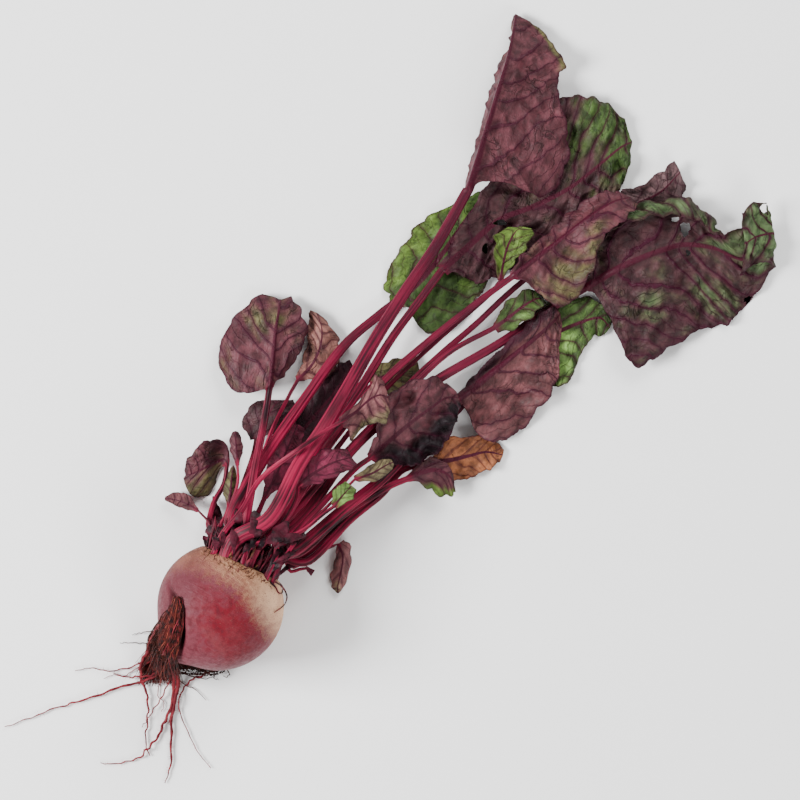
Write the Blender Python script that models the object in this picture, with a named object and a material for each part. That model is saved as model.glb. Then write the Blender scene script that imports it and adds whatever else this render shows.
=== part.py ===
"""Beetroot as picked, lying on its side: swollen root, tuft of rootlets, and leaves on their stems.

Plan points are millimetres across the surface the plant lies on. PLAN_ORIGIN is the plan point under the
middle of the whole plant, and PLAN_TURN turns the plan so that the plant's long way lies along +X.
A leaf is one skin from its foot at the crown to its tip: a stem, then a blade given by cross rows of
left edge, rib and right edge. Leaves are laid one after another from the lowest up, and each is raised
just enough to lie clear over the heap that is already there.
"""

import math

import bmesh
import bpy
import numpy as np

MM = 0.001

# The plan and how it turns into the part's own frame.
PLAN_ORIGIN = (177.6, 182.0)
PLAN_TURN = math.radians(-45.0)
PLAN_SIZE = 400

# The swollen root.
BULB_PLACE = (110.5, 97.0)
BULB_WIDTH = 64.0
BULB_LENGTH = 63.0
BULB_HEIGHT = 59.0
BULB_CENTRE_HEIGHT = 28.6
CROWN_AZIMUTH = math.radians(65.0)
CROWN_DIP = 0.0
CROWN_DISTANCE = 24.5
TAIL_AZIMUTH = math.radians(219.0)
TAIL_RISE = math.radians(16.0)
TAIL_LENGTH = 7.0
TAIL_SPREAD = 0.33
CREASE_PATH = ((-0.79, 0.45, 0.41), (-0.70, 0.05, 0.71), (-0.60, -0.42, 0.68), (-0.53, -0.78, 0.33))
CREASE_DEPTH = 6.0
CREASE_SPREAD = 0.13
CREASE_TURN = math.radians(133.0)
CREASE_DENSITY = 0.55
BULB_RINGS = 22
BULB_SIDES = 30

# Stems leave the crown straight for this far.
STEM_STRAIGHT = 10.0

# A stem's own line points back to the heart of the root. Its foot is tried every few steps to both sides of
# the place where that line meets the crown, and is raised until the stem lies free.
HEART_DEPTH = 22.0
FOOT_REACH = 9.0
FOOT_STEP = 1.5
FOOT_EDGE = 20.3
FOOT_LOWEST = -17.0
FOOT_ROUNDS = 3
FOOT_RAISE = 0.8
FOOT_FREE = 0.3
STEM_WEIGHT = 0.4
STRAY_WEIGHT = 0.15

# What touches keeps this much air.
GAP = 0.4
HEAP_GAP = 0.45
HEAP_ROUNDS = 14
PATCH_SAMPLES = 16

# Leaf blades.
BLADE_THICK = 0.8
EDGE_WAVE = 1.1
EDGE_CUT = 0.55

# Rootlets.
ROOTLET_SIDES = 5

# The leaves, from the lowest in the heap to the highest.
# A stem is its half width and its plan points with heights. Every row is left edge, rib, right edge.
LEAVES = {
    "leaf_stub": {
        "stem": (1.1, [(145, 114.5), (150, 115.5)]),
        "rows": [
            ((153, 117.5, 7.2), (153.5, 116, 7.2), (153.5, 114.5, 7.2)),
            ((157.5, 115, 6), (156.5, 113.5, 6), (155.5, 112, 6)),
        ],
        "tint": "red",
    },
    "leaf_hanging_right": {
        "stem": (1.0, [(147, 116.5), (156, 122.5), (164, 126)]),
        "stiff": True,
        "rows": [
            ((171.5, 131, 5.4), (169, 128, 5.4), (167.5, 125, 5.4)),
            ((176, 127, 3.6), (171.5, 122, 6.6), (167, 119, 3.6)),
            ((175, 115, 3), (170.5, 114, 5.4), (165.5, 113, 2.4)),
            ((172, 107, 1.8), (169, 107.5, 3.6), (166, 107, 1.8)),
            ((170, 104, 1.8), (169, 103.5, 1.8), (168, 104, 1.8)),
        ],
        "tint": "olive_purple",
    },
    "leaf_dark_behind": {
        "stem": (1.4, [(131, 148), (141, 168)]),
        "rows": [
            ((144, 176, 3.6), (145.5, 175, 4.2), (147.5, 174, 3.6)),
            ((149, 193, 1.8), (154, 188, 4.2), (160, 184, 1.8)),
            ((160, 209, 1.5), (165, 201, 3.6), (170, 195, 1.5)),
            ((168, 217, 2.4), (172, 211, 3.6), (175, 206, 2.4)),
            ((175, 220, 2.4), (176, 218, 2.4), (177, 215, 2.4)),
        ],
        "tint": "dark",
    },
    "leaf_grey_between": {
        "stem": (1.2, [(127, 140)]),
        "rows": [
            ((130.5, 150, 9), (132, 151, 9), (133.5, 150, 9)),
            ((132, 163, 6.6), (138, 162, 8.4), (145, 160, 6.6)),
            ((138, 178, 5.4), (144, 176, 7.2), (151, 174, 5.4)),
            ((146, 189, 5.4), (149, 188, 6), (152, 186, 5.4)),
        ],
        "tint": "grey",
    },
    "leaf_olive_behind": {
        "stem": (1.3, [(140, 150), (165, 184), (181, 203)]),
        "rows": [
            ((184, 209, 2.4), (185.5, 207.5, 3), (187.5, 205, 2.4)),
            ((186, 217, 1.8), (191, 211.5, 3), (196, 202, 1.8)),
            ((196, 220, 1.8), (200, 214, 3), (204, 206, 1.8)),
            ((208, 222, 1.8), (209, 218.5, 2.4), (210, 214, 1.8)),
        ],
        "tint": "olive",
    },
    "leaf_green_under": {
        "stem": (2.4, [(150, 122), (175, 142.5), (193, 158), (216, 181), (241, 208)]),
        "rows": [
            ((257.5, 226, 1.8), (259, 225, 1.8), (261, 223.5, 1.8)),
            ((264, 240, 1.8), (270, 230, 1.8), (272, 208, 2.4)),
            ((276, 250, 3), (281, 235, 1.8), (284, 209, 3)),
            ((290, 252, 1.8), (291, 239, 1.8), (290, 222, 1.8)),
            ((301, 248, 1.5), (300, 241, 1.8), (296, 231, 2.4)),
            ((306, 239, 1.5), (305, 236, 1.5), (302, 232.5, 1.5)),
        ],
        "tint": "green",
    },
    "leaf_dry_brown": {
        "stem": (2.2, [(155, 120), (175, 140), (191, 153), (200, 164), (210, 168)]),
        "rows": [
            ((215, 171, 2.4), (216, 169, 3), (217, 166.5, 2.4)),
            ((219, 180, 3.6), (225, 170, 2.4), (226, 159.5, 3.6)),
            ((234, 182, 4.2), (234, 172, 2.4), (235, 161.5, 3.6)),
            ((245, 182, 3), (243, 174, 2.4), (244, 165, 3.6)),
            ((252, 175, 1.8), (251.5, 172.5, 1.8), (250, 169, 1.8)),
        ],
        "tint": "brown",
    },
    "leaf_grey_left": {
        "stem": (1.4, [(118, 148), (126, 171)]),
        "rows": [
            ((125, 179, 6), (128, 180, 6.6), (131, 180, 6)),
            ((121, 187, 3.6), (131, 187.5, 6.6), (140, 184, 4.8)),
            ((125, 197, 3), (135, 194, 6.6), (148, 192, 3.6)),
            ((131, 200, 3.6), (139, 200, 4.8), (147, 200, 3.6)),
        ],
        "tint": "grey",
    },
    "leaf_far_left": {
        "stem": (0.8, [(106, 133), (104.5, 139)]),
        "rows": [
            ((99, 143.5, 8.4), (99.5, 144.5, 8.4), (100, 145.5, 8.4)),
            ((94, 145, 6), (94, 148, 7.2), (95.5, 151.5, 5.4)),
            ((88.5, 147, 4.2), (88.5, 150, 5.4), (89, 154, 3.6)),
            ((82.5, 150, 3), (82.5, 151, 3), (83, 152, 3)),
        ],
        "tint": "pink_purple",
    },
    "leaf_cupped_left": {
        "stem": (1.7, [(104.5, 136), (107, 148.5), (112, 158)]),
        "stiff": True,
        "rows": [
            ((112, 166.5, 8), (113.6, 167.5, 8), (115.2, 168.5, 8)),
            ((109.5, 164.5, 5), (111.5, 170, 7), (114, 176.5, 8)),
            ((105.5, 154, 2.4), (106, 168, 5), (107, 181, 8)),
            ((98, 151, 1), (100.5, 165, 3), (99.5, 177, 6)),
            ((93, 157, 1), (96, 163, 2), (94, 171, 4)),
            ((91.8, 161, 1.4), (92.8, 162.5, 1.6), (92.3, 165, 1.6)),
        ],
        "tint": "cupped",
    },
    "leaf_yellow_tip": {
        "stem": (1.4, [(108.5, 134), (112.5, 141)]),
        "rows": [
            ((113.5, 146.5, 15.6), (114.5, 146, 15.6), (116, 147, 15.6)),
            ((112, 153, 13.2), (115.5, 154, 15.6), (119, 154, 13.2)),
            ((113, 160, 12.6), (116, 161, 14.4), (119, 159, 12.6)),
            ((115.5, 166, 12.6), (117, 167.5, 13.2), (118, 165, 12.6)),
        ],
        "tint": "yellow_green",
    },
    "leaf_upright_small": {
        "stem": (1.0, [(114, 140), (119, 158)]),
        "rows": [
            ((118, 167, 15.6), (119, 167, 15.6), (120, 167, 15.6)),
            ((115.5, 174, 13.8), (118.5, 175, 15.6), (121.5, 174, 13.8)),
            ((115, 180, 13.2), (118, 181, 14.4), (121, 180, 13.2)),
            ((116.5, 184, 12.6), (118, 184.5, 13.2), (119.5, 184, 12.6)),
        ],
        "tint": "red_dark",
    },
    "leaf_beside_round": {
        "stem": (1.3, [(124, 148), (135, 182), (144, 201)]),
        "rows": [
            ((147, 211, 7.2), (149, 210, 7.8), (151.5, 209, 7.2)),
            ((151, 219, 4.8), (156, 217.5, 7.8), (161, 208.5, 4.8)),
            ((154, 229, 3.6), (160, 226, 7.8), (169, 218, 3.6)),
            ((154, 239, 3.6), (161, 235, 6.6), (168.5, 231, 3.6)),
            ((155, 245, 3.6), (158.5, 243.5, 4.8), (163, 240, 3.6)),
        ],
        "tint": "olive_purple",
    },
    "leaf_green_edged": {
        "stem": (2.3, [(150, 124), (170, 141.5), (192, 155.5)]),
        "rows": [
            ((202, 161.5, 4.2), (203, 160.5, 4.8), (204.5, 159, 4.2)),
            ((210, 169, 3.6), (211, 164, 4.8), (212, 157, 3)),
            ((219, 171, 3), (219, 165, 4.2), (219, 152.5, 1.8)),
            ((225, 166, 2.4), (224.5, 162, 3), (225, 152, 1.8)),
            ((227, 160, 1.8), (227, 157.5, 1.8), (228, 154, 1.8)),
        ],
        "tint": "green_purple",
    },
    "leaf_green_left": {
        "stem": (3.2, [(116, 142), (131, 169), (155, 204), (172.5, 227.5), (189, 242)]),
        "rows": [
            ((194, 247, 3.6), (198, 249, 3.6), (201, 246, 3.6)),
            ((192, 256, 1.8), (206, 256, 3.6), (213, 233, 1.8)),
            ((195, 267, 2.4), (214, 264, 3.6), (228, 237.5, 3)),
            ((202, 278, 1.5), (222.5, 275, 3), (240, 252.5, 1.8)),
            ((211, 290, 2.4), (231, 287.5, 3), (248, 275, 2.4)),
            ((225, 297, 1.5), (238, 297.5, 2.4), (248, 292.5, 1.5)),
            ((239, 304, 1.8), (242, 305, 1.8), (245, 303, 1.8)),
        ],
        "tint": "yellow_green",
    },
    "leaf_round_upper": {
        "stem": (2.4, [(122.5, 134), (125.5, 152.5), (128.5, 170), (132, 187.5)]),
        "underside_up": True,
        "rows": [
            ((133, 204, 15.6), (135, 206, 16.2), (137, 206, 15.6)),
            ((120, 203, 10.2), (136, 215, 15), (142, 212, 12)),
            ((110, 216, 6), (137, 225, 13.2), (149, 222, 8.4)),
            ((112, 232.5, 4.2), (138, 235, 11.4), (154, 233.5, 5.4)),
            ((120.5, 245, 3.6), (139.5, 244, 9), (150.5, 245, 4.8)),
            ((131, 253.5, 3.6), (140.5, 250, 5.4), (145.5, 252, 3.6)),
        ],
        "tint": "purple_grey",
    },
    "leaf_wrinkled_green": {
        "stem": (2.8, [(140, 145), (156, 170), (168, 188), (181, 207), (196, 231),
                       (210, 250)]),
        "rows": [
            ((218, 266, 5.4), (221, 265, 6), (223, 262, 5.4)),
            ((226, 280, 5.4), (235, 277.5, 6), (238, 258, 3.6)),
            ((240, 302, 6), (250, 290, 5.4), (252.5, 264, 5.4)),
            ((255, 327, 3.6), (267.5, 297, 6), (270, 272.5, 3.6)),
            ((270, 347, 4.8), (285, 306, 6.6), (288, 282.5, 4.8)),
            ((287.5, 352, 6), (299, 317, 6), (303, 295, 3.6)),
            ((303, 349, 3.6), (310, 326, 5.4), (312, 310, 4.8)),
            ((312, 338, 3), (316, 329, 3), (315, 320, 3)),
        ],
        "tint": "mottled_green",
    },
    "leaf_dark_tip": {
        "stem": (2.0, [(145, 140), (173, 172), (203, 206), (220, 222.5), (238, 238),
                       (255, 254)]),
        "underside_up": True,
        "rows": [
            ((275, 273, 4.2), (277.5, 272.5, 4.8), (280, 270, 4.2)),
            ((292.5, 295, 3), (300, 289, 4.8), (305, 277.5, 2.4)),
            ((307.5, 303, 4.8), (316, 297, 4.8), (322.5, 286, 2.4)),
            ((323, 309, 7.2), (330, 304, 4.2), (336, 294, 2.4)),
            ((337.5, 319, 6), (340, 314, 3.6), (343, 305, 3)),
        ],
        "tint": "dark_purple",
    },
    "leaf_big_holed": {
        "stem": (2.9, [(150, 140), (175, 174), (200, 197), (220, 211), (250, 228.5),
                       (274, 245)]),
        "stiff": True,
        "underside_up": True,
        "rows": [
            ((291, 257.5, 3), (292.5, 256, 3.6), (294, 254, 3)),
            ((296, 270.5, 7), (302.5, 262, 3.6), (306, 237.5, 2.4)),
            ((305, 284, 11), (314, 268, 3.6), (317, 217, 1.8)),
            ((322.5, 291, 12), (327.5, 273.5, 3.6), (332, 224, 1.2)),
            ((339, 292, 12), (341, 277.5, 3.6), (350, 235, 1.8)),
            ((351.5, 287, 10), (356.1, 276.1, 3.2), (363.6, 237.9, 1.5)),
            ((361.5, 283, 7), (373.2, 270.6, 2.4), (372.7, 248, 1.7)),
            ((384, 294, 6), (386.8, 282.4, 5.5), (385.9, 266.5, 6.1)),
            ((377, 299, 12), (378.5, 281.7, 10.3), (376.3, 267.6, 11.2)),
            ((370.5, 293, 13), (372, 277.9, 11.9), (369.4, 261.5, 12.5)),
        ],
        "shoulder": {1: (297, 270, 4.2), 2: (300, 289.5, 5), 3: (320, 297, 5.5), 4: (341, 301, 5.5),
                     5: (353, 291, 5), 6: (365, 280, 4.5)},
        "tint": "purple_back",
    },
    "leaf_big_low": {
        "stem": (3.3, [(150, 127), (172.5, 146), (192.5, 162), (210, 181)]),
        "underside_up": True,
        "rows": [
            ((226, 201, 5.4), (227.5, 200, 5.4), (228.5, 198, 5.4)),
            ((234, 209, 3), (237, 206, 5.4), (240, 181, 3.6)),
            ((245, 220, 2.4), (248, 215, 5.4), (256, 181.5, 2.4)),
            ((256, 230.5, 2.4), (259, 224, 5.4), (269, 195, 2.4)),
            ((266, 240, 2.4), (269, 232, 4.8), (278.5, 210, 2.4)),
            ((274, 245.5, 2.4), (276, 238.5, 4.2), (280, 225, 2.4)),
            ((278, 246, 2.4), (280, 243, 3), (281, 237.5, 2.4)),
        ],
        "tint": "red_purple",
    },
    "leaf_bright_folded": {
        "stem": (1.9, [(146, 143), (175, 176), (205, 206), (225, 224)]),
        "rows": [
            ((246, 237.5, 5.4), (247, 236, 4.8), (248, 233, 5.4)),
            ((250, 245, 7.2), (254, 241, 4.2), (256, 235, 6)),
            ((256.5, 251.5, 7.8), (261, 246.5, 4.8), (265, 241, 7.2)),
            ((265, 255.5, 6), (268, 250.5, 4.8), (270.5, 246, 6.6)),
            ((271, 252.5, 4.8), (272, 250, 4.8), (273, 248, 4.8)),
        ],
        "tint": "bright_green",
    },
    "leaf_pale_folded": {
        "stem": (1.5, [(143, 144), (187, 199), (219, 230), (243, 251)]),
        "underside_up": True,
        "rows": [
            ((248.5, 259, 8.4), (250, 259.5, 7.8), (251.5, 259.5, 8.4)),
            ((247.5, 267.5, 10.8), (251.5, 269, 7.8), (256, 267, 9.6)),
            ((247, 277.5, 12), (254, 277.5, 9), (262, 274, 10.8)),
            ((248, 283, 12), (257.5, 284, 9.6), (266.5, 282, 11.4)),
            ((254, 286, 10.8), (261, 286.5, 10.2), (266, 285.5, 10.8)),
        ],
        "tint": "pale_green",
    },
    "leaf_fan_purple": {
        "stem": (2.3, [(143, 142), (165, 178), (191.5, 209), (215, 230), (239, 249)]),
        "underside_up": True,
        "rows": [
            ((254, 263, 11.4), (256, 261.5, 12), (258, 259.5, 11.4)),
            ((260, 271, 10.2), (265, 268.5, 12), (272.5, 250, 9)),
            ((269, 280, 9), (275, 276, 12), (284, 247.5, 7.8)),
            ((278, 287.5, 8.4), (285, 284, 10.8), (296, 264, 7.8)),
            ((287.5, 296, 7.2), (295, 292, 9), (301, 280, 7.2)),
            ((300, 303.5, 6.6), (306, 298.5, 7.8), (312, 290, 6.6)),
            ((309, 304, 6), (315, 301, 6.6), (319, 297.5, 6)),
        ],
        "tint": "purple_fan",
    },
    "leaf_crumpled_dark": {
        "stem": (2.0, [(149, 135), (167.5, 155), (178, 166)]),
        "rows": [
            ((183, 172.5, 20.6), (185, 171, 20.6), (187, 168.5, 20.6)),
            ((188, 187.5, 18.8), (194, 179, 17.0), (200, 167, 18.8)),
            ((193, 201, 16.4), (204, 187.5, 18.2), (212.5, 169, 15.2)),
            ((205, 209.5, 15.2), (214, 195, 18.2), (222.5, 177.5, 14.6)),
            ((219, 211, 14.6), (223, 201, 16.4), (228, 190, 14.0)),
            ((228, 204, 14.0), (229.5, 201, 14.6), (230, 197, 14.0)),
        ],
        "tint": "violet_dark",
    },
    "leaf_oval_purple": {
        "stem": (1.5, [(140, 134), (148, 149)]),
        "underside_up": True,
        "rows": [
            ((148, 159, 31.0), (149.5, 157.5, 31.0), (151.5, 155.5, 31.0)),
            ((151.5, 169, 29.2), (157, 163.5, 31.0), (162.5, 159.5, 29.2)),
            ((162.5, 175.5, 28.0), (167, 169, 30.4), (172.5, 164, 28.0)),
            ((174, 175.5, 27.4), (176, 171.5, 28.6), (179, 168, 27.4)),
        ],
        "tint": "grainy_purple",
    },
    "leaf_top_folded": {
        "stem": (3.9, [(136, 142), (150, 168), (162, 186), (174, 206), (187, 229),
                       (202, 253), (218, 277)]),
        "stiff": True,
        "underside_up": True,
        "rows": [
            ((232, 304, 16.2), (234, 305, 18), (237, 306, 17.4)),
            ((235, 317.5, 9.6), (238.5, 318.5, 18.6), (257.5, 307, 14.4)),
            ((239, 330, 6), (242, 331, 18.6), (272.5, 301.5, 10.2)),
            ((243, 344, 4.8), (246, 344, 17.4), (283.5, 317.5, 7.8)),
            ((246.5, 356, 3.6), (250, 357.5, 15.6), (283, 337.5, 6)),
            ((250, 366, 3), (253.5, 369, 13.2), (278.5, 357.5, 6)),
            ((254, 379, 2.4), (256, 380, 9.6), (282, 369, 9)),
            ((256, 388, 2.4), (257.5, 388, 6), (269, 386.5, 4.8)),
            ((257, 392, 2.4), (258, 392.5, 3), (260, 391.5, 3)),
        ],
        "tint": "purple_back",
    },
    "leaf_olive_small": {
        "stem": (1.0, [(154, 137), (171, 154)]),
        "rows": [
            ((176, 162, 27.0), (177.5, 160.5, 27.0), (179, 159, 27.0)),
            ((184, 167, 25.8), (186, 163.5, 26.4), (188, 159.5, 25.2)),
            ((191, 170.5, 24.6), (193, 167.5, 25.2), (195, 164.5, 24.0)),
            ((195.5, 170.5, 24.0), (196.5, 169, 24.0), (197, 167.5, 24.0)),
        ],
        "tint": "olive",
    },
    "leaf_green_bud": {
        "stem": (1.3, [(149, 134), (162, 143.5)]),
        "rows": [
            ((165.5, 148.5, 32.0), (167, 147, 31.4), (169, 146, 32.0)),
            ((167, 155.5, 32.6), (171.5, 152.5, 30.2), (176, 150.5, 32.6)),
            ((173, 159.5, 30.8), (176, 157.5, 30.2), (178.5, 155.5, 30.8)),
        ],
        "tint": "bright_green",
    },
    "leaf_tan_middle": {
        "stem": (1.5, [(122, 146), (131, 161), (147.5, 174), (162, 184)]),
        "rows": [
            ((169, 191, 29.0), (170.5, 189, 29.0), (171.5, 186, 29.0)),
            ((178, 198, 26.6), (178, 194, 27.2), (176, 180, 23.6)),
            ((184.5, 206, 25.4), (184.5, 200, 26.0), (184, 188, 21.8)),
            ((189, 213, 23.0), (190, 202.5, 24.2), (192, 188, 20.0)),
            ((192.5, 208, 21.2), (194, 201, 21.8), (195, 194, 19.4)),
        ],
        "tint": "tan_purple",
    },
}

# These leaves touch the surface that the plant lies on, spread round its weight.
ON_THE_SURFACE = ("leaf_cupped_left", "leaf_green_under", "leaf_green_left", "leaf_big_holed")

# Rootlets: base radius, tip radius, and plan points with heights. The first point is sunk in the tuft.
ROOTLETS = [
    (1.3, 0.45, [(85, 68, 6), (75, 61, 3), (60, 56.5, 1.6), (42, 50, 1.1), (30, 46.5, 0.9), (15, 41, 0.8),
                 (2.5, 36.5, 0.7)]),
    (1.7, 0.5, [(82, 80, 14), (75, 75, 8), (71, 69, 4), (70.5, 61, 2.4), (73, 55, 1.8), (74, 47.5, 1.4),
                (73.5, 37.5, 1.1), (73, 27.5, 0.9), (75, 22, 0.8)]),
    (1.5, 0.45, [(88, 68, 8), (89, 57.5, 3), (87, 47.5, 1.7), (85.5, 35, 1.2), (85.5, 20, 0.9),
                 (84.5, 14, 0.8), (82.5, 8.5, 0.7)]),
    (1.2, 0.4, [(86, 67, 8), (87, 55, 2.2), (85, 45, 1.7), (81.5, 37.5, 1.3), (79, 31.5, 1.1), (74, 26, 2.2),
                (70, 21.5, 1.0), (62.5, 19, 0.8), (54, 18, 0.7), (50.5, 18.5, 0.7)]),
    (0.9, 0.4, [(84, 67, 7), (75, 62.5, 4.6), (67.5, 61.5, 1.8), (61, 62, 1.1), (56.5, 63.5, 0.8)]),
    (1.0, 0.4, [(104, 66, 5), (106, 65, 2), (100, 62, 1.4), (95, 59.5, 1.1), (91.5, 55, 1.0), (89.5, 50, 2.6),
                (90, 44, 0.9), (94, 34, 0.8), (99, 24, 0.7), (105, 16.5, 0.7)]),
    (0.7, 0.4, [(72, 70, 4.5), (64, 66, 1.4), (55, 64.5, 0.8), (46, 66, 0.8), (37.5, 64.5, 0.7)]),
    (0.7, 0.4, [(86, 62, 4), (80, 50, 1.4), (75, 42.5, 2.4), (71, 36.5, 0.8)]),
]

# The tuft's dense middle, soil and fibre together: radius and plan point with height.
TUFT_SPINE = [
    (1.8, (90, 103, 52.5)), (2.8, (88, 96, 51.5)), (4.4, (86, 87, 48)), (5.8, (84, 77.5, 38)),
    (6.8, (83.5, 69, 19)), (4.6, (84, 64, 7)),
]
TUFT_SIDE_SPINE = [(4.5, (88, 70, 10)), (4.2, (97, 69, 6.5)), (3.2, (106, 67, 4.2)), (1.6, (112, 66.5, 2.6))]
TUFT_ROUGHNESS = 0.22
TUFT_SIDES = 8
STRANDS = 6
STRAND_RADIUS = 1.25
SEED = 7


def clear_scene():
    for old in list(bpy.data.objects):
        bpy.data.objects.remove(old, do_unlink=True)


def to_frame(points):
    """Plan points in millimetres, as points of the part's frame in metres."""
    points = np.asarray(points, float)
    moved = points.copy()
    east = points[:, 0] - PLAN_ORIGIN[0]
    north = points[:, 1] - PLAN_ORIGIN[1]
    moved[:, 0] = east * math.cos(PLAN_TURN) - north * math.sin(PLAN_TURN)
    moved[:, 1] = east * math.sin(PLAN_TURN) + north * math.cos(PLAN_TURN)
    return moved * MM


def direction(azimuth, rise):
    return np.array([math.cos(azimuth) * math.cos(rise), math.sin(azimuth) * math.cos(rise), math.sin(rise)])


CROWN_AXIS = direction(CROWN_AZIMUTH, CROWN_DIP)
CROWN_ACROSS = np.array([math.sin(CROWN_AZIMUTH), -math.cos(CROWN_AZIMUTH), 0.0])
CROWN_UP = np.cross(CROWN_ACROSS, CROWN_AXIS)
TAIL_AXIS = direction(TAIL_AZIMUTH, TAIL_RISE)
BULB_CENTRE = np.array([*BULB_PLACE, BULB_CENTRE_HEIGHT])


def mesh_object(name, points, faces, colour, roughness=0.5):
    """A closed mesh in the part's frame, with its own material."""
    mesh = bpy.data.meshes.new(name)
    mesh.from_pydata([tuple(p) for p in to_frame(points)], [], faces)
    mesh.shade_smooth()
    made = bpy.data.objects.new(name, mesh)
    bpy.context.scene.collection.objects.link(made)
    finish = bpy.data.materials.new(name)
    finish.use_nodes = True
    shader = finish.node_tree.nodes["Principled BSDF"]
    shader.inputs["Base Color"].default_value = (*colour, 1.0)
    shader.inputs["Roughness"].default_value = roughness
    shader.inputs["Metallic"].default_value = 0.0
    mesh.materials.append(finish)
    return made


def curve_through(points, at):
    """A smooth curve through points, read at parameters from 0 at the first point to 1 at the last."""
    points = np.asarray(points, float)
    if len(points) == 2:
        return points[0] + (points[1] - points[0]) * np.asarray(at)[:, None]
    padded = np.vstack([2 * points[0] - points[1], points, 2 * points[-1] - points[-2]])
    where = np.clip(np.asarray(at, float), 0, 1) * (len(points) - 1)
    span = np.minimum(where.astype(int), len(points) - 2)
    t = (where - span)[:, None]
    p0, p1, p2, p3 = (padded[span + k] for k in range(4))
    bend = (2 * p0 - 5 * p1 + 4 * p2 - p3) * t**2 + (3 * p1 - p0 - 3 * p2 + p3) * t**3
    return 0.5 * (2 * p1 + (p2 - p0) * t + bend)


def even_parameters(points, count):
    """Parameters that space count points evenly along the smooth curve through points."""
    fine = np.linspace(0, 1, 40 * len(points))
    line = curve_through(points, fine)
    along = np.concatenate([[0], np.cumsum(np.linalg.norm(np.diff(line, axis=0), axis=1))])
    return np.interp(np.linspace(0, along[-1], count), along, fine)


def smooth_step(x):
    x = np.clip(x, 0, 1)
    return x * x * (3 - 2 * x)


def unit(vectors):
    return vectors / np.maximum(np.linalg.norm(vectors, axis=-1, keepdims=True), 1e-9)


def crown_point(across, up, out):
    return BULB_CENTRE + CROWN_AXIS * (CROWN_DISTANCE + out) + CROWN_ACROSS * across + CROWN_UP * up


def side_curve(rib, edge, shoulder, share):
    """Points from the rib to the edge of a blade, through the shoulder at half way where there is one."""
    middle = (rib + edge) / 2 if shoulder is None else shoulder
    control = 2 * middle - (rib + edge) / 2
    share = np.asarray(share)[:, None]
    return (1 - share) ** 2 * rib + 2 * share * (1 - share) * control + share**2 * edge


def blade_sections(leaf, along, columns):
    """For each place along the blade, its points from the left edge over the rib to the right edge."""
    left, rib, right = (np.array([row[k] for row in leaf["rows"]], float) for k in range(3))
    shoulders = leaf.get("shoulder", {})
    turned = np.array([shoulders.get(k, tuple((left[k] + rib[k]) / 2)) for k in range(len(rib))], float)
    first = 1 / (len(rib) - 1)
    widening = np.where(along < first, first * (along / first) ** 1.7, along)
    spine = curve_through(rib, along)
    lines = [spine + curve_through(line - rib, widening) for line in (left, rib, right, turned)]
    length = np.linalg.norm(np.diff(rib, axis=0), axis=1).sum()
    waves = max(2.0, length / 17.0)
    share = np.linspace(0, 1, columns)[1:]
    sections = []
    for k, t in enumerate(along):
        edge_left, middle, edge_right, shoulder = (line[k] for line in lines)
        sides = []
        for sign, edge, bend in ((-1, edge_left, shoulder), (1, edge_right, None)):
            reach = edge - middle
            width = np.linalg.norm(reach)
            phase = 2 * math.pi * waves * t + sign * 0.9
            cut = EDGE_CUT * math.sin(1.7 * phase + 1.1)
            edge = edge + reach / max(width, 1e-6) * cut * smooth_step(width / 9)
            side = side_curve(middle, edge, bend, share)
            ruffle = EDGE_WAVE * smooth_step(width / 12) * math.sin(phase)
            side[:, 2] += ruffle * share**2
            sides.append(side)
        sections.append(np.vstack([sides[0][::-1], middle, sides[1]]))
    return np.array(sections)


def stem_section(centre, forward, half_width, columns):
    """The upper and lower halves of a stem's cross section, each from left to right."""
    flat = np.array([forward[0], forward[1], 0.0])
    flat /= max(np.linalg.norm(flat), 1e-6)
    right = np.array([flat[1], -flat[0], 0.0])
    up = np.cross(right, forward / np.linalg.norm(forward))
    angle = np.linspace(-math.pi / 2, math.pi / 2, 2 * columns - 1)
    across = np.sin(angle)[:, None] * half_width * right
    arch = np.cos(angle)[:, None]
    lip = 0.12 * half_width
    upper = centre + across + up * (lip + 0.38 * half_width * arch)
    lower = centre + across - up * (lip + 0.66 * half_width * arch)
    return upper, lower


def leaf_skin(leaf, place, stem_steps, blade_steps, columns):
    """Points of the leaf's upper and lower skins, as arrays of cross sections from foot to tip."""
    half_width, route = leaf["stem"]
    foot = crown_point(*place, GAP)
    shoot = crown_point(*place, STEM_STRAIGHT)
    base = np.array(leaf["rows"][0][1], float)
    path = np.vstack([foot[:2], shoot[:2], np.array(route, float), base[:2]])
    places = even_parameters(path, stem_steps + 1)
    fall = smooth_step(np.linspace(0, 1, stem_steps + 1))
    centres = np.column_stack([curve_through(path, places), foot[2] + (base[2] - foot[2]) * fall])
    ahead = np.vstack([centres[1:], leaf["rows"][1][1]])
    uppers, lowers = [], []
    for k, centre in enumerate(centres):
        forward = CROWN_AXIS if k == 0 else ahead[k] - centres[k - 1]
        taper = 1.12 - 0.42 * k / stem_steps
        upper, lower = stem_section(centre, forward, half_width * taper, columns)
        uppers.append(upper)
        lowers.append(lower)
    along = even_parameters([row[1] for row in leaf["rows"]], blade_steps + 1)[1:]
    middle = blade_sections(leaf, along, columns)
    outward = unit(np.cross(np.gradient(middle, axis=1), np.gradient(middle, axis=0)))
    outward = unit(np.stack([softened(softened(outward[:, :, k], 0), 1) for k in range(3)], axis=2))
    from_rib = np.linalg.norm(middle - middle[:, columns - 1 : columns], axis=2)
    swell = 0.7 * half_width * (1 - 0.8 * along)[:, None]
    ridge = swell * np.exp(-((from_rib / (1.2 * swell)) ** 2))
    upright = outward[:, columns - 1 : columns]
    skins = [middle + outward * BLADE_THICK / 2, middle - outward * BLADE_THICK / 2]
    if leaf.get("underside_up", False):
        skins[0] += upright * ridge[:, :, None]
    else:
        skins[1] -= upright * ridge[:, :, None]
    return np.vstack([uppers, skins[0]]), np.vstack([lowers, skins[1]])


def split(corners):
    a, b, c, d = corners
    return [(a, b, c), (a, c, d)]


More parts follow.
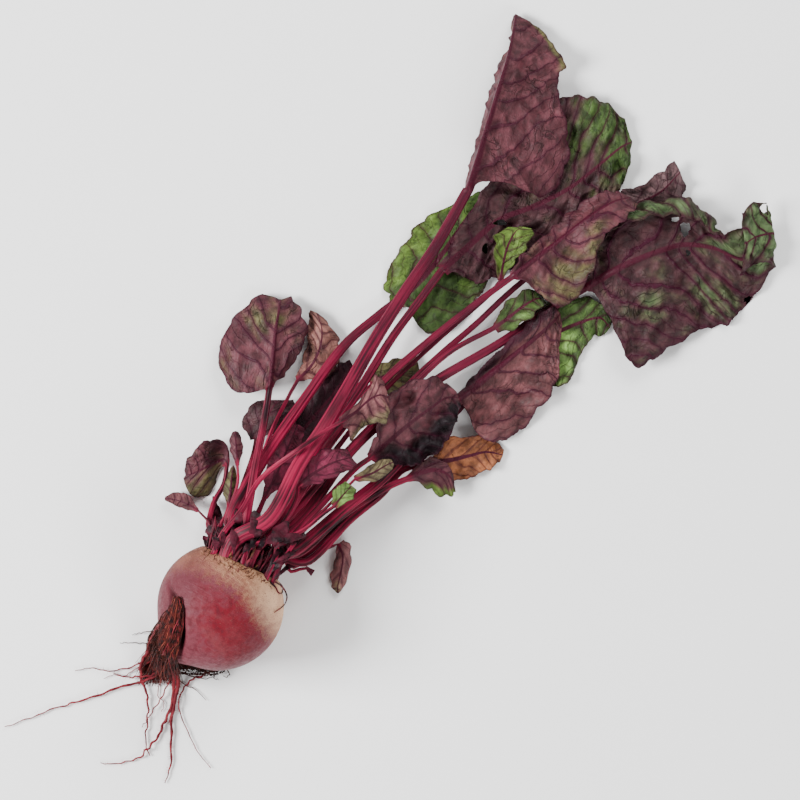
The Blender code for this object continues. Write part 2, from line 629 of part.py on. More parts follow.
def split_turned(corners):
    a, b, c, d = corners
    return [(c, b, a), (d, c, a)]


def skin_mesh(uppers, lowers):
    """One closed mesh from the two skins, split into triangles alike above and below."""
    steps, wide = uppers.shape[:2]
    points = np.vstack([uppers.reshape(-1, 3), lowers.reshape(-1, 3)])
    under = steps * wide
    faces = []
    for i in range(steps - 1):
        for j in range(wide - 1):
            a, d = i * wide + j, (i + 1) * wide + j
            faces += split((a, a + 1, d + 1, d))
            faces += split_turned((under + a, under + a + 1, under + d + 1, under + d))
    for i in range(steps - 1):
        for j, turned in ((0, False), (wide - 1, True)):
            a, d = i * wide + j, (i + 1) * wide + j
            rim = (a, d, under + d, under + a)
            faces += split_turned(rim) if turned else split(rim)
    for i, turned in ((0, False), (steps - 1, True)):
        for j in range(wide - 1):
            a, b = i * wide + j, i * wide + j + 1
            cap = (a, b, under + b, under + a)
            faces += split(cap) if turned else split_turned(cap)
    return points, faces


def skin_samples(skin, count):
    """Points spread over each four-cornered patch of a skin, as an array by row, column and sample."""
    low, high = skin[:-1], skin[1:]
    share = np.linspace(0, 1, count)
    across, along = (grid.ravel()[:, None] for grid in np.meshgrid(share, share))
    near = low[:, :-1, None] * (1 - across) + low[:, 1:, None] * across
    far = high[:, :-1, None] * (1 - across) + high[:, 1:, None] * across
    return near * (1 - along) + far * along


def map_cells(samples):
    cells = np.clip(samples[..., :2].astype(int), 0, PLAN_SIZE - 1)
    return cells[..., 0], cells[..., 1]


def widest(values, axis, reach):
    """Each value becomes the largest within reach of it along an axis."""
    padded = [(reach, reach) if k == axis else (0, 0) for k in range(2)]
    values = np.pad(values, padded, mode="edge")
    count = values.shape[axis] - 2 * reach
    return np.max([np.take(values, range(k, k + count), axis) for k in range(2 * reach + 1)], axis=0)


def softened(values, axis):
    """Each value mixes with its two neighbours along an axis."""
    padded = [(1, 1) if k == axis else (0, 0) for k in range(2)]
    values = np.pad(values, padded, mode="edge")
    count = values.shape[axis] - 2
    before, here, after = (np.take(values, range(k, k + count), axis) for k in range(3))
    return (before + 2 * here + after) / 4


def shortfall(ground, skins):
    """How much each patch of a leaf is too low to clear the heap and the surface below."""
    short = 0.0
    for skin in skins:
        samples = skin_samples(skin, PATCH_SAMPLES)
        floor = ground[map_cells(samples)]
        floor = np.where(floor > 0, floor + HEAP_GAP, 0.0)
        short = np.maximum(short, (floor - samples[..., 2]).max(axis=2))
    return short


def lift_over(ground, skins, stem_rows, stiff):
    """How far each point of a leaf's skins has to rise, to lie clear over the heap and the surface."""
    steps, wide = skins[0].shape[:2]
    lift = np.zeros((steps, wide))
    for _ in range(HEAP_ROUNDS):
        raised = [skin + lift[:, :, None] * (0.0, 0.0, 1.0) for skin in skins]
        short = shortfall(ground, raised)
        if short.max() < 0.02:
            break
        need = np.zeros((steps + 1, wide + 1))
        need[1:-1, 1:-1] = short
        need = np.max([need[:-1, :-1], need[1:, :-1], need[:-1, 1:], need[1:, 1:]], axis=0)
        held = steps if stiff else stem_rows + 1
        need[:held] = need[:held].max(axis=1)[:, None]
        wide_need = widest(widest(need, 0, 1), 1, 1)
        wide_need[:stem_rows] = need[:stem_rows]
        lift += softened(softened(softened(wide_need, 0), 0), 1)
    return lift


def leaf_grid(leaf):
    """How finely a leaf is divided: steps along its stem and blade, and columns from rib to edge."""
    ribs = np.array([row[1] for row in leaf["rows"]], float)
    blade = np.linalg.norm(np.diff(ribs, axis=0), axis=1).sum()
    route = [tuple(BULB_CENTRE[:2] + CROWN_AXIS[:2] * CROWN_DISTANCE), *leaf["stem"][1], tuple(ribs[0, :2])]
    stem = np.linalg.norm(np.diff(np.array(route, float), axis=0), axis=1).sum()
    columns = 5 if blade > 40 else 4 if blade > 20 else 3
    return max(3, round(stem / 16)), max(4, round(blade / 6.5)), columns


def own_place(leaf):
    """Where the line from the heart of the root to a stem's first bend crosses the crown's face."""
    away = np.array(leaf["stem"][1][0], float) - crown_point(0, 0, 0)[:2]
    ahead, beside = away @ CROWN_AXIS[:2], away @ CROWN_ACROSS[:2]
    limit = FOOT_EDGE - leaf["stem"][0]
    return float(np.clip(beside * HEART_DEPTH / (HEART_DEPTH + ahead), -limit, limit))


def lay_from(leaf, across, ground, grid):
    """A leaf's skins and lift with its foot at one place across the crown, raised until the stem lies free."""
    up = FOOT_LOWEST
    for _ in range(FOOT_ROUNDS):
        skins = leaf_skin(leaf, (across, up), *grid)
        lift = lift_over(ground, skins, grid[0], leaf.get("stiff", False))
        if lift[0].max() < FOOT_FREE:
            break
        up += FOOT_RAISE * lift[0].max()
    return skins, lift


def lowest_lie(leaf, ground, grid):
    """A leaf's skins and lift from the foot that keeps the stem low and near its own line."""
    own = own_place(leaf)
    tried = own + np.arange(-FOOT_REACH, FOOT_REACH + 0.1, FOOT_STEP)
    best, least = None, math.inf
    for across in tried[np.abs(tried) <= FOOT_EDGE - leaf["stem"][0]]:
        skins, lift = lay_from(leaf, across, ground, grid)
        tops = np.max([skin[: grid[0], :, 2] + lift[: grid[0]] for skin in skins], axis=2)
        score = tops[0, 0] + STEM_WEIGHT * tops.mean() + STRAY_WEIGHT * abs(across - own)
        if score < least:
            best, least = (skins, lift), score
    return best


def lay_leaves():
    """Each leaf's two skins and its lift, laid in turn on the heap below it."""
    heap = np.zeros((PLAN_SIZE, PLAN_SIZE))
    laid = {}
    for name, leaf in LEAVES.items():
        around = np.pad(heap, 1)
        near = [around[i : i + PLAN_SIZE, j : j + PLAN_SIZE] for i in range(3) for j in range(3)]
        skins, lift = lowest_lie(leaf, np.max(near, axis=0), leaf_grid(leaf))
        if name in ON_THE_SURFACE:
            lift = lift - min((skin[:, :, 2] + lift).min() for skin in skins)
        skins = [skin + lift[:, :, None] * (0.0, 0.0, 1.0) for skin in skins]
        for skin in skins:
            samples = skin_samples(skin, PATCH_SAMPLES)
            np.maximum.at(heap, map_cells(samples), samples[..., 2])
        laid[name] = (skins, lift)
    return laid


# Leaf colours by name.
TINTS = {
    "dark": (0.05, 0.05, 0.03),
    "grey": (0.2, 0.14, 0.14),
    "olive": (0.22, 0.2, 0.08),
    "green": (0.2, 0.36, 0.08),
    "brown": (0.45, 0.24, 0.09),
    "olive_purple": (0.3, 0.2, 0.14),
    "red": (0.4, 0.05, 0.1),
    "green_purple": (0.26, 0.2, 0.1),
    "yellow_green": (0.28, 0.36, 0.06),
    "mottled_green": (0.14, 0.2, 0.08),
    "dark_purple": (0.15, 0.06, 0.09),
    "purple_back": (0.26, 0.1, 0.12),
    "red_purple": (0.3, 0.1, 0.1),
    "bright_green": (0.25, 0.46, 0.1),
    "pale_green": (0.32, 0.45, 0.15),
    "purple_fan": (0.33, 0.14, 0.15),
    "violet_dark": (0.17, 0.08, 0.13),
    "grainy_purple": (0.27, 0.08, 0.13),
    "tan_purple": (0.35, 0.2, 0.16),
    "pink_purple": (0.32, 0.13, 0.14),
    "cupped": (0.22, 0.15, 0.08),
    "red_dark": (0.15, 0.05, 0.03),
    "purple_grey": (0.27, 0.14, 0.14),
}


def crease_depth(ways):
    """How deep the crease beside the tail cuts in, for unit directions from the middle of the root."""
    path = np.array(CREASE_PATH, float)
    path = curve_through(path, np.linspace(0, 1, 30))
    path /= np.linalg.norm(path, axis=1)[:, None]
    away = np.arccos(np.clip(ways @ path.T, -1, 1))
    nearest = away.min(axis=1)
    place = away.argmin(axis=1) / (len(path) - 1)
    depth = CREASE_DEPTH * smooth_step(place / 0.45 + 0.12) * smooth_step((1.15 - place) / 0.5)
    return depth * np.exp(-((nearest / CREASE_SPREAD) ** 2))


def bulb_radius(ways):
    """Distance from the middle of the swollen root to its skin, for unit directions."""
    along = ways @ CROWN_AXIS
    across = ways @ CROWN_ACROSS
    upward = ways @ CROWN_UP
    size = np.array([BULB_LENGTH, BULB_WIDTH, BULB_HEIGHT]) / 2
    radius = 1 / np.sqrt((along / size[0]) ** 2 + (across / size[1]) ** 2 + (upward / size[2]) ** 2)
    radius = radius + 0.55 * np.sin(3.1 * across + 1.2) * np.cos(2.3 * upward)
    radius = radius + 0.4 * np.sin(4.2 * upward + 2.0 * along)
    off_tail = np.arccos(np.clip(ways @ TAIL_AXIS, -1, 1))
    radius = radius + TAIL_LENGTH * np.exp(-((off_tail / TAIL_SPREAD) ** 2))
    radius = radius - crease_depth(ways)
    face = CROWN_DISTANCE / np.maximum(along, 1e-3)
    soft = 1.2
    blend = np.clip(0.5 + (face - radius) / (2 * soft), 0, 1)
    return np.where(along > 0.2, radius * blend + face * (1 - blend) - soft * blend * (1 - blend), radius)


def bulb_mesh(rings, sides):
    """The swollen root round its crown axis, before its resting spot is cut."""
    ways = [CROWN_AXIS]
    for ring in range(1, rings):
        tilt = math.pi * ring / rings
        for side in range(sides):
            even = 2 * math.pi * side / sides
            turn = CREASE_TURN + even - CREASE_DENSITY * math.sin(even)
            ways.append(
                CROWN_AXIS * math.cos(tilt)
                + math.sin(tilt) * (CROWN_ACROSS * math.cos(turn) + CROWN_UP * math.sin(turn))
            )
    ways.append(-CROWN_AXIS)
    ways = np.array(ways)
    points = BULB_CENTRE + ways * bulb_radius(ways)[:, None]
    last = len(points) - 1
    faces = []
    for side in range(sides):
        after = (side + 1) % sides
        faces.append((0, 1 + side, 1 + after))
        faces.append((last, last - sides + after, last - sides + side))
        for ring in range(1, rings - 1):
            a, b = 1 + (ring - 1) * sides + side, 1 + (ring - 1) * sides + after
            c, d = a + sides, b + sides
            faces += [(a, c, d), (a, d, b)]
    return points, faces


def build_bulb():
    points, faces = bulb_mesh(BULB_RINGS, BULB_SIDES)
    bulb = mesh_object("bulb", points, faces, (0.33, 0.1, 0.12), 0.45)
    shape = bmesh.new()
    shape.from_mesh(bulb.data)
    bmesh.ops.recalc_face_normals(shape, faces=shape.faces)
    whole = shape.verts[:] + shape.edges[:] + shape.faces[:]
    floor = {"plane_co": (0, 0, 0), "plane_no": (0, 0, -1)}
    cut = bmesh.ops.bisect_plane(shape, geom=whole, clear_outer=True, **floor)
    rim = [e for e in cut["geom_cut"] if isinstance(e, bmesh.types.BMEdge)]
    bmesh.ops.holes_fill(shape, edges=rim, sides=0)
    bmesh.ops.recalc_face_normals(shape, faces=shape.faces)
    shape.to_mesh(bulb.data)
    shape.free()
    return bulb


def tube_mesh(path, radii, sides, roughness=0.0, random=None):
    """A closed tube of changing radius along a path."""
    path = np.asarray(path, float)
    forward = np.gradient(path, axis=0)
    forward /= np.linalg.norm(forward, axis=1)[:, None]
    points = []
    for centre, way, radius in zip(path, forward, radii):
        side = np.cross(way, (0.0, 0.0, 1.0))
        if np.linalg.norm(side) < 0.3:
            side = np.cross(way, (1.0, 0.0, 0.0))
        side /= np.linalg.norm(side)
        up = np.cross(side, way)
        for k in range(sides):
            turn = 2 * math.pi * k / sides
            out = radius * (1 + (random.uniform(-roughness, roughness) if random is not None else 0.0))
            points.append(centre + out * (side * math.cos(turn) + up * math.sin(turn)))
    faces = [tuple(range(sides)), tuple(range((len(path) - 1) * sides, len(path) * sides))[::-1]]
    for ring in range(len(path) - 1):
        for k in range(sides):
            a, b = ring * sides + k, ring * sides + (k + 1) % sides
            faces.append((a, a + sides, b + sides, b))
    return np.array(points), faces


def closed_outward(made):
    shape = bmesh.new()
    shape.from_mesh(made.data)
    bmesh.ops.recalc_face_normals(shape, faces=shape.faces)
    shape.to_mesh(made.data)
    shape.free()


def apply_boolean(target, operation, other=None, collection=None):
    step = target.modifiers.new(operation.lower(), "BOOLEAN")
    step.operation = operation
    step.solver = "EXACT"
    if collection is None:
        step.object = other
    else:
        step.operand_type = "COLLECTION"
        step.collection = collection
    with bpy.context.temp_override(object=target, active_object=target):
        bpy.ops.object.modifier_apply(modifier=step.name)


def build_tuft():
    """A rough middle of soil and fibre with the rootlets fused to it, cut clear of the swollen root."""
    random = np.random.default_rng(SEED)
    colour = (0.16, 0.05, 0.05)

    def spine(name, rows, steps, sides=TUFT_SIDES):
        radii, places = np.array([row[0] for row in rows]), np.array([row[1] for row in rows], float)
        at = even_parameters(places, steps)
        sizes = np.interp(at, np.linspace(0, 1, len(rows)), radii)
        line = curve_through(places, at)
        line[:, 2] = np.maximum(line[:, 2], sizes + 0.2)
        made = mesh_object(name, *tube_mesh(line, sizes, sides, TUFT_ROUGHNESS, random), colour, 0.8)
        closed_outward(made)
        return made

    tuft = spine("root_tuft", TUFT_SPINE, 9)
    repeats = bpy.data.collections.new("rootlets")
    bpy.context.scene.collection.children.link(repeats)
    members = [spine("soil_side", TUFT_SIDE_SPINE, 6)]
    middle = np.array([row[1] for row in TUFT_SPINE], float)
    for k in range(STRANDS):
        turn = 2 * math.pi * k / STRANDS
        spread = np.array([row[0] for row in TUFT_SPINE])[:, None]
        spread = spread * random.uniform(0.75, 1.15, (len(middle), 1))
        route = middle + spread * (math.cos(turn), math.sin(turn), 0.0)
        route = route + random.uniform(-0.8, 0.8, middle.shape)
        route = np.vstack([route, route[-1] + (6 * math.cos(turn) - 3, 6 * math.sin(turn) - 4, -2.5)])
        members.append(spine(f"strand_{k}", [(STRAND_RADIUS, tuple(place)) for place in route], 8, 4))
    for k, (thick, thin, route) in enumerate(ROOTLETS):
        at = even_parameters(route, 2 * len(route) - 1)
        line = curve_through(route, at)
        radii = thick + (thin - thick) * at**0.7
        line[:, 2] = np.maximum(line[:, 2], radii + 0.1)
        rootlet = mesh_object(f"rootlet_{k}", *tube_mesh(line, radii, ROOTLET_SIDES), colour)
        closed_outward(rootlet)
        members.append(rootlet)
    for member in members:
        bpy.context.scene.collection.objects.unlink(member)
        repeats.objects.link(member)
    bpy.context.view_layer.update()
    apply_boolean(tuft, "UNION", collection=repeats)
    for member in members:
        bpy.data.objects.remove(member, do_unlink=True)
    bpy.data.collections.remove(repeats)
    points, faces = bulb_mesh(BULB_RINGS, BULB_SIDES)
    out = points - BULB_CENTRE
    points = points + out / np.linalg.norm(out, axis=1)[:, None] * (GAP + 0.15)
    cutter = mesh_object("bulb_clearance", points, faces, colour)
    closed_outward(cutter)
    apply_boolean(tuft, "DIFFERENCE", other=cutter)
    bpy.data.objects.remove(cutter, do_unlink=True)
    keep_largest(tuft)
    return tuft


def keep_largest(made):
    """Drops loose scraps that a cut has left, and keeps the largest body."""
    shape = bmesh.new()
    shape.from_mesh(made.data)
    bmesh.ops.remove_doubles(shape, verts=shape.verts, dist=5e-6)
    bmesh.ops.dissolve_degenerate(shape, dist=5e-6, edges=shape.edges)
    bmesh.ops.triangulate(shape, faces=shape.faces)
    left = set(shape.verts)
    bodies = []
    while left:
        body, edge = set(), [left.pop()]
        while edge:
            vert = edge.pop()
            body.add(vert)
            for other in (e.other_vert(vert) for e in vert.link_edges):
                if other in left:
                    left.discard(other)
                    edge.append(other)
        bodies.append(body)
    bodies.sort(key=len)
    for body in bodies[:-1]:
        bmesh.ops.delete(shape, geom=list(body), context="VERTS")
    shape.to_mesh(made.data)
    shape.free()


def build_leaves():
    for name, (skins, _lift) in lay_leaves().items():
        mesh_object(name, *skin_mesh(*skins), TINTS[LEAVES[name]["tint"]], 0.5)


def main():
    clear_scene()
    build_bulb()
    build_tuft()
    build_leaves()


main()
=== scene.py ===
# %% [markdown]
# # A beetroot with its leaves
# A freshly pulled beetroot lies on its side: the swollen root, a tuft of rootlets with soil in it, and a
# bunch of long crimson stems with crumpled leaves. The solids under it give the right places and sizes.
# Here each of them gets a finer piece in its place: thin waved blades with veins, round stems, real skin.

# %% Load the solids
import math

import bmesh
import bpy
import mathutils
import numpy as np
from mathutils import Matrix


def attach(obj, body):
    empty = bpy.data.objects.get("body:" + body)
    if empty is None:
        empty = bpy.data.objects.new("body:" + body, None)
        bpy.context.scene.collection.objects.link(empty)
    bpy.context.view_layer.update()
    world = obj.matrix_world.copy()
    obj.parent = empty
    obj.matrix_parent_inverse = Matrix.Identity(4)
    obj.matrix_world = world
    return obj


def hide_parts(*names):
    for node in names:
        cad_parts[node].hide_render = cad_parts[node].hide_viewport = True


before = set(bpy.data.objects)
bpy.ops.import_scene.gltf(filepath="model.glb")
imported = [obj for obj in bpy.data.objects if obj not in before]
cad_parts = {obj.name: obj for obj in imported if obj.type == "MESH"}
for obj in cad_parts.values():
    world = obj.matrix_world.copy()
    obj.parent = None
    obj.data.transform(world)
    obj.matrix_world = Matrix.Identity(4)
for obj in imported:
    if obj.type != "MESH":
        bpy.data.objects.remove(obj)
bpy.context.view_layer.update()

# %% [markdown]
# ## The plan
# Every piece is drawn on a plan seen from above, in millimetres, because leaves are easiest to draw that
# way. The plan is then turned so that the plant's long way lies along X. A smooth curve through a few points
# is all that a rib, an edge or a rootlet needs.

# %% Plan helpers
PLAN_ORIGIN = (177.6, 182.0)
PLAN_TURN = math.radians(-45.0)
PLAN_SIZE = 400
MM = 0.001


def to_frame(points):
    """Turns places on the plan, in millimetres, into places in the frame, in metres."""
    points = np.asarray(points, float)
    moved = points.copy()
    east = points[:, 0] - PLAN_ORIGIN[0]
    north = points[:, 1] - PLAN_ORIGIN[1]
    moved[:, 0] = east * math.cos(PLAN_TURN) - north * math.sin(PLAN_TURN)
    moved[:, 1] = east * math.sin(PLAN_TURN) + north * math.cos(PLAN_TURN)
    return moved * MM


def curve_through(points, at):
    """A smooth curve through points, read at parameters from 0 at the first point to 1 at the last."""
    points = np.asarray(points, float)
    if len(points) == 2:
        return points[0] + (points[1] - points[0]) * np.asarray(at)[:, None]
    padded = np.vstack([2 * points[0] - points[1], points, 2 * points[-1] - points[-2]])
    where = np.clip(np.asarray(at, float), 0, 1) * (len(points) - 1)
    span = np.minimum(where.astype(int), len(points) - 2)
    t = (where - span)[:, None]
    p0, p1, p2, p3 = (padded[span + k] for k in range(4))
    bend = (2 * p0 - 5 * p1 + 4 * p2 - p3) * t**2 + (3 * p1 - p0 - 3 * p2 + p3) * t**3
    return 0.5 * (2 * p1 + (p2 - p0) * t + bend)


def even_parameters(points, count):
    """Parameters that space count points evenly along the smooth curve through points."""
    fine = np.linspace(0, 1, 40 * len(points))
    line = curve_through(points, fine)
    along = np.concatenate([[0], np.cumsum(np.linalg.norm(np.diff(line, axis=0), axis=1))])
    return np.interp(np.linspace(0, along[-1], count), along, fine)


def smooth_step(x):
    x = np.clip(x, 0, 1)
    return x * x * (3 - 2 * x)


def unit(vectors):
    return vectors / np.maximum(np.linalg.norm(vectors, axis=-1, keepdims=True), 1e-9)


def ripples(places, wavelength, seed, waves=9):
    """A soft uneven field between about -1 and 1, from a few waves that cross one another."""
    random = np.random.default_rng(seed)
    turns = random.uniform(0, 2 * math.pi, waves)
    lengths = wavelength * random.uniform(0.7, 1.5, waves)
    starts = random.uniform(0, 2 * math.pi, waves)
    ways = np.stack([np.cos(turns), np.sin(turns)]) * 2 * math.pi / lengths
    return np.sin(places @ ways + starts).sum(axis=-1) / math.sqrt(waves)


print("the middle of the plan lies at", to_frame([(200.0, 200.0, 0.0)])[0].round(3), "m")
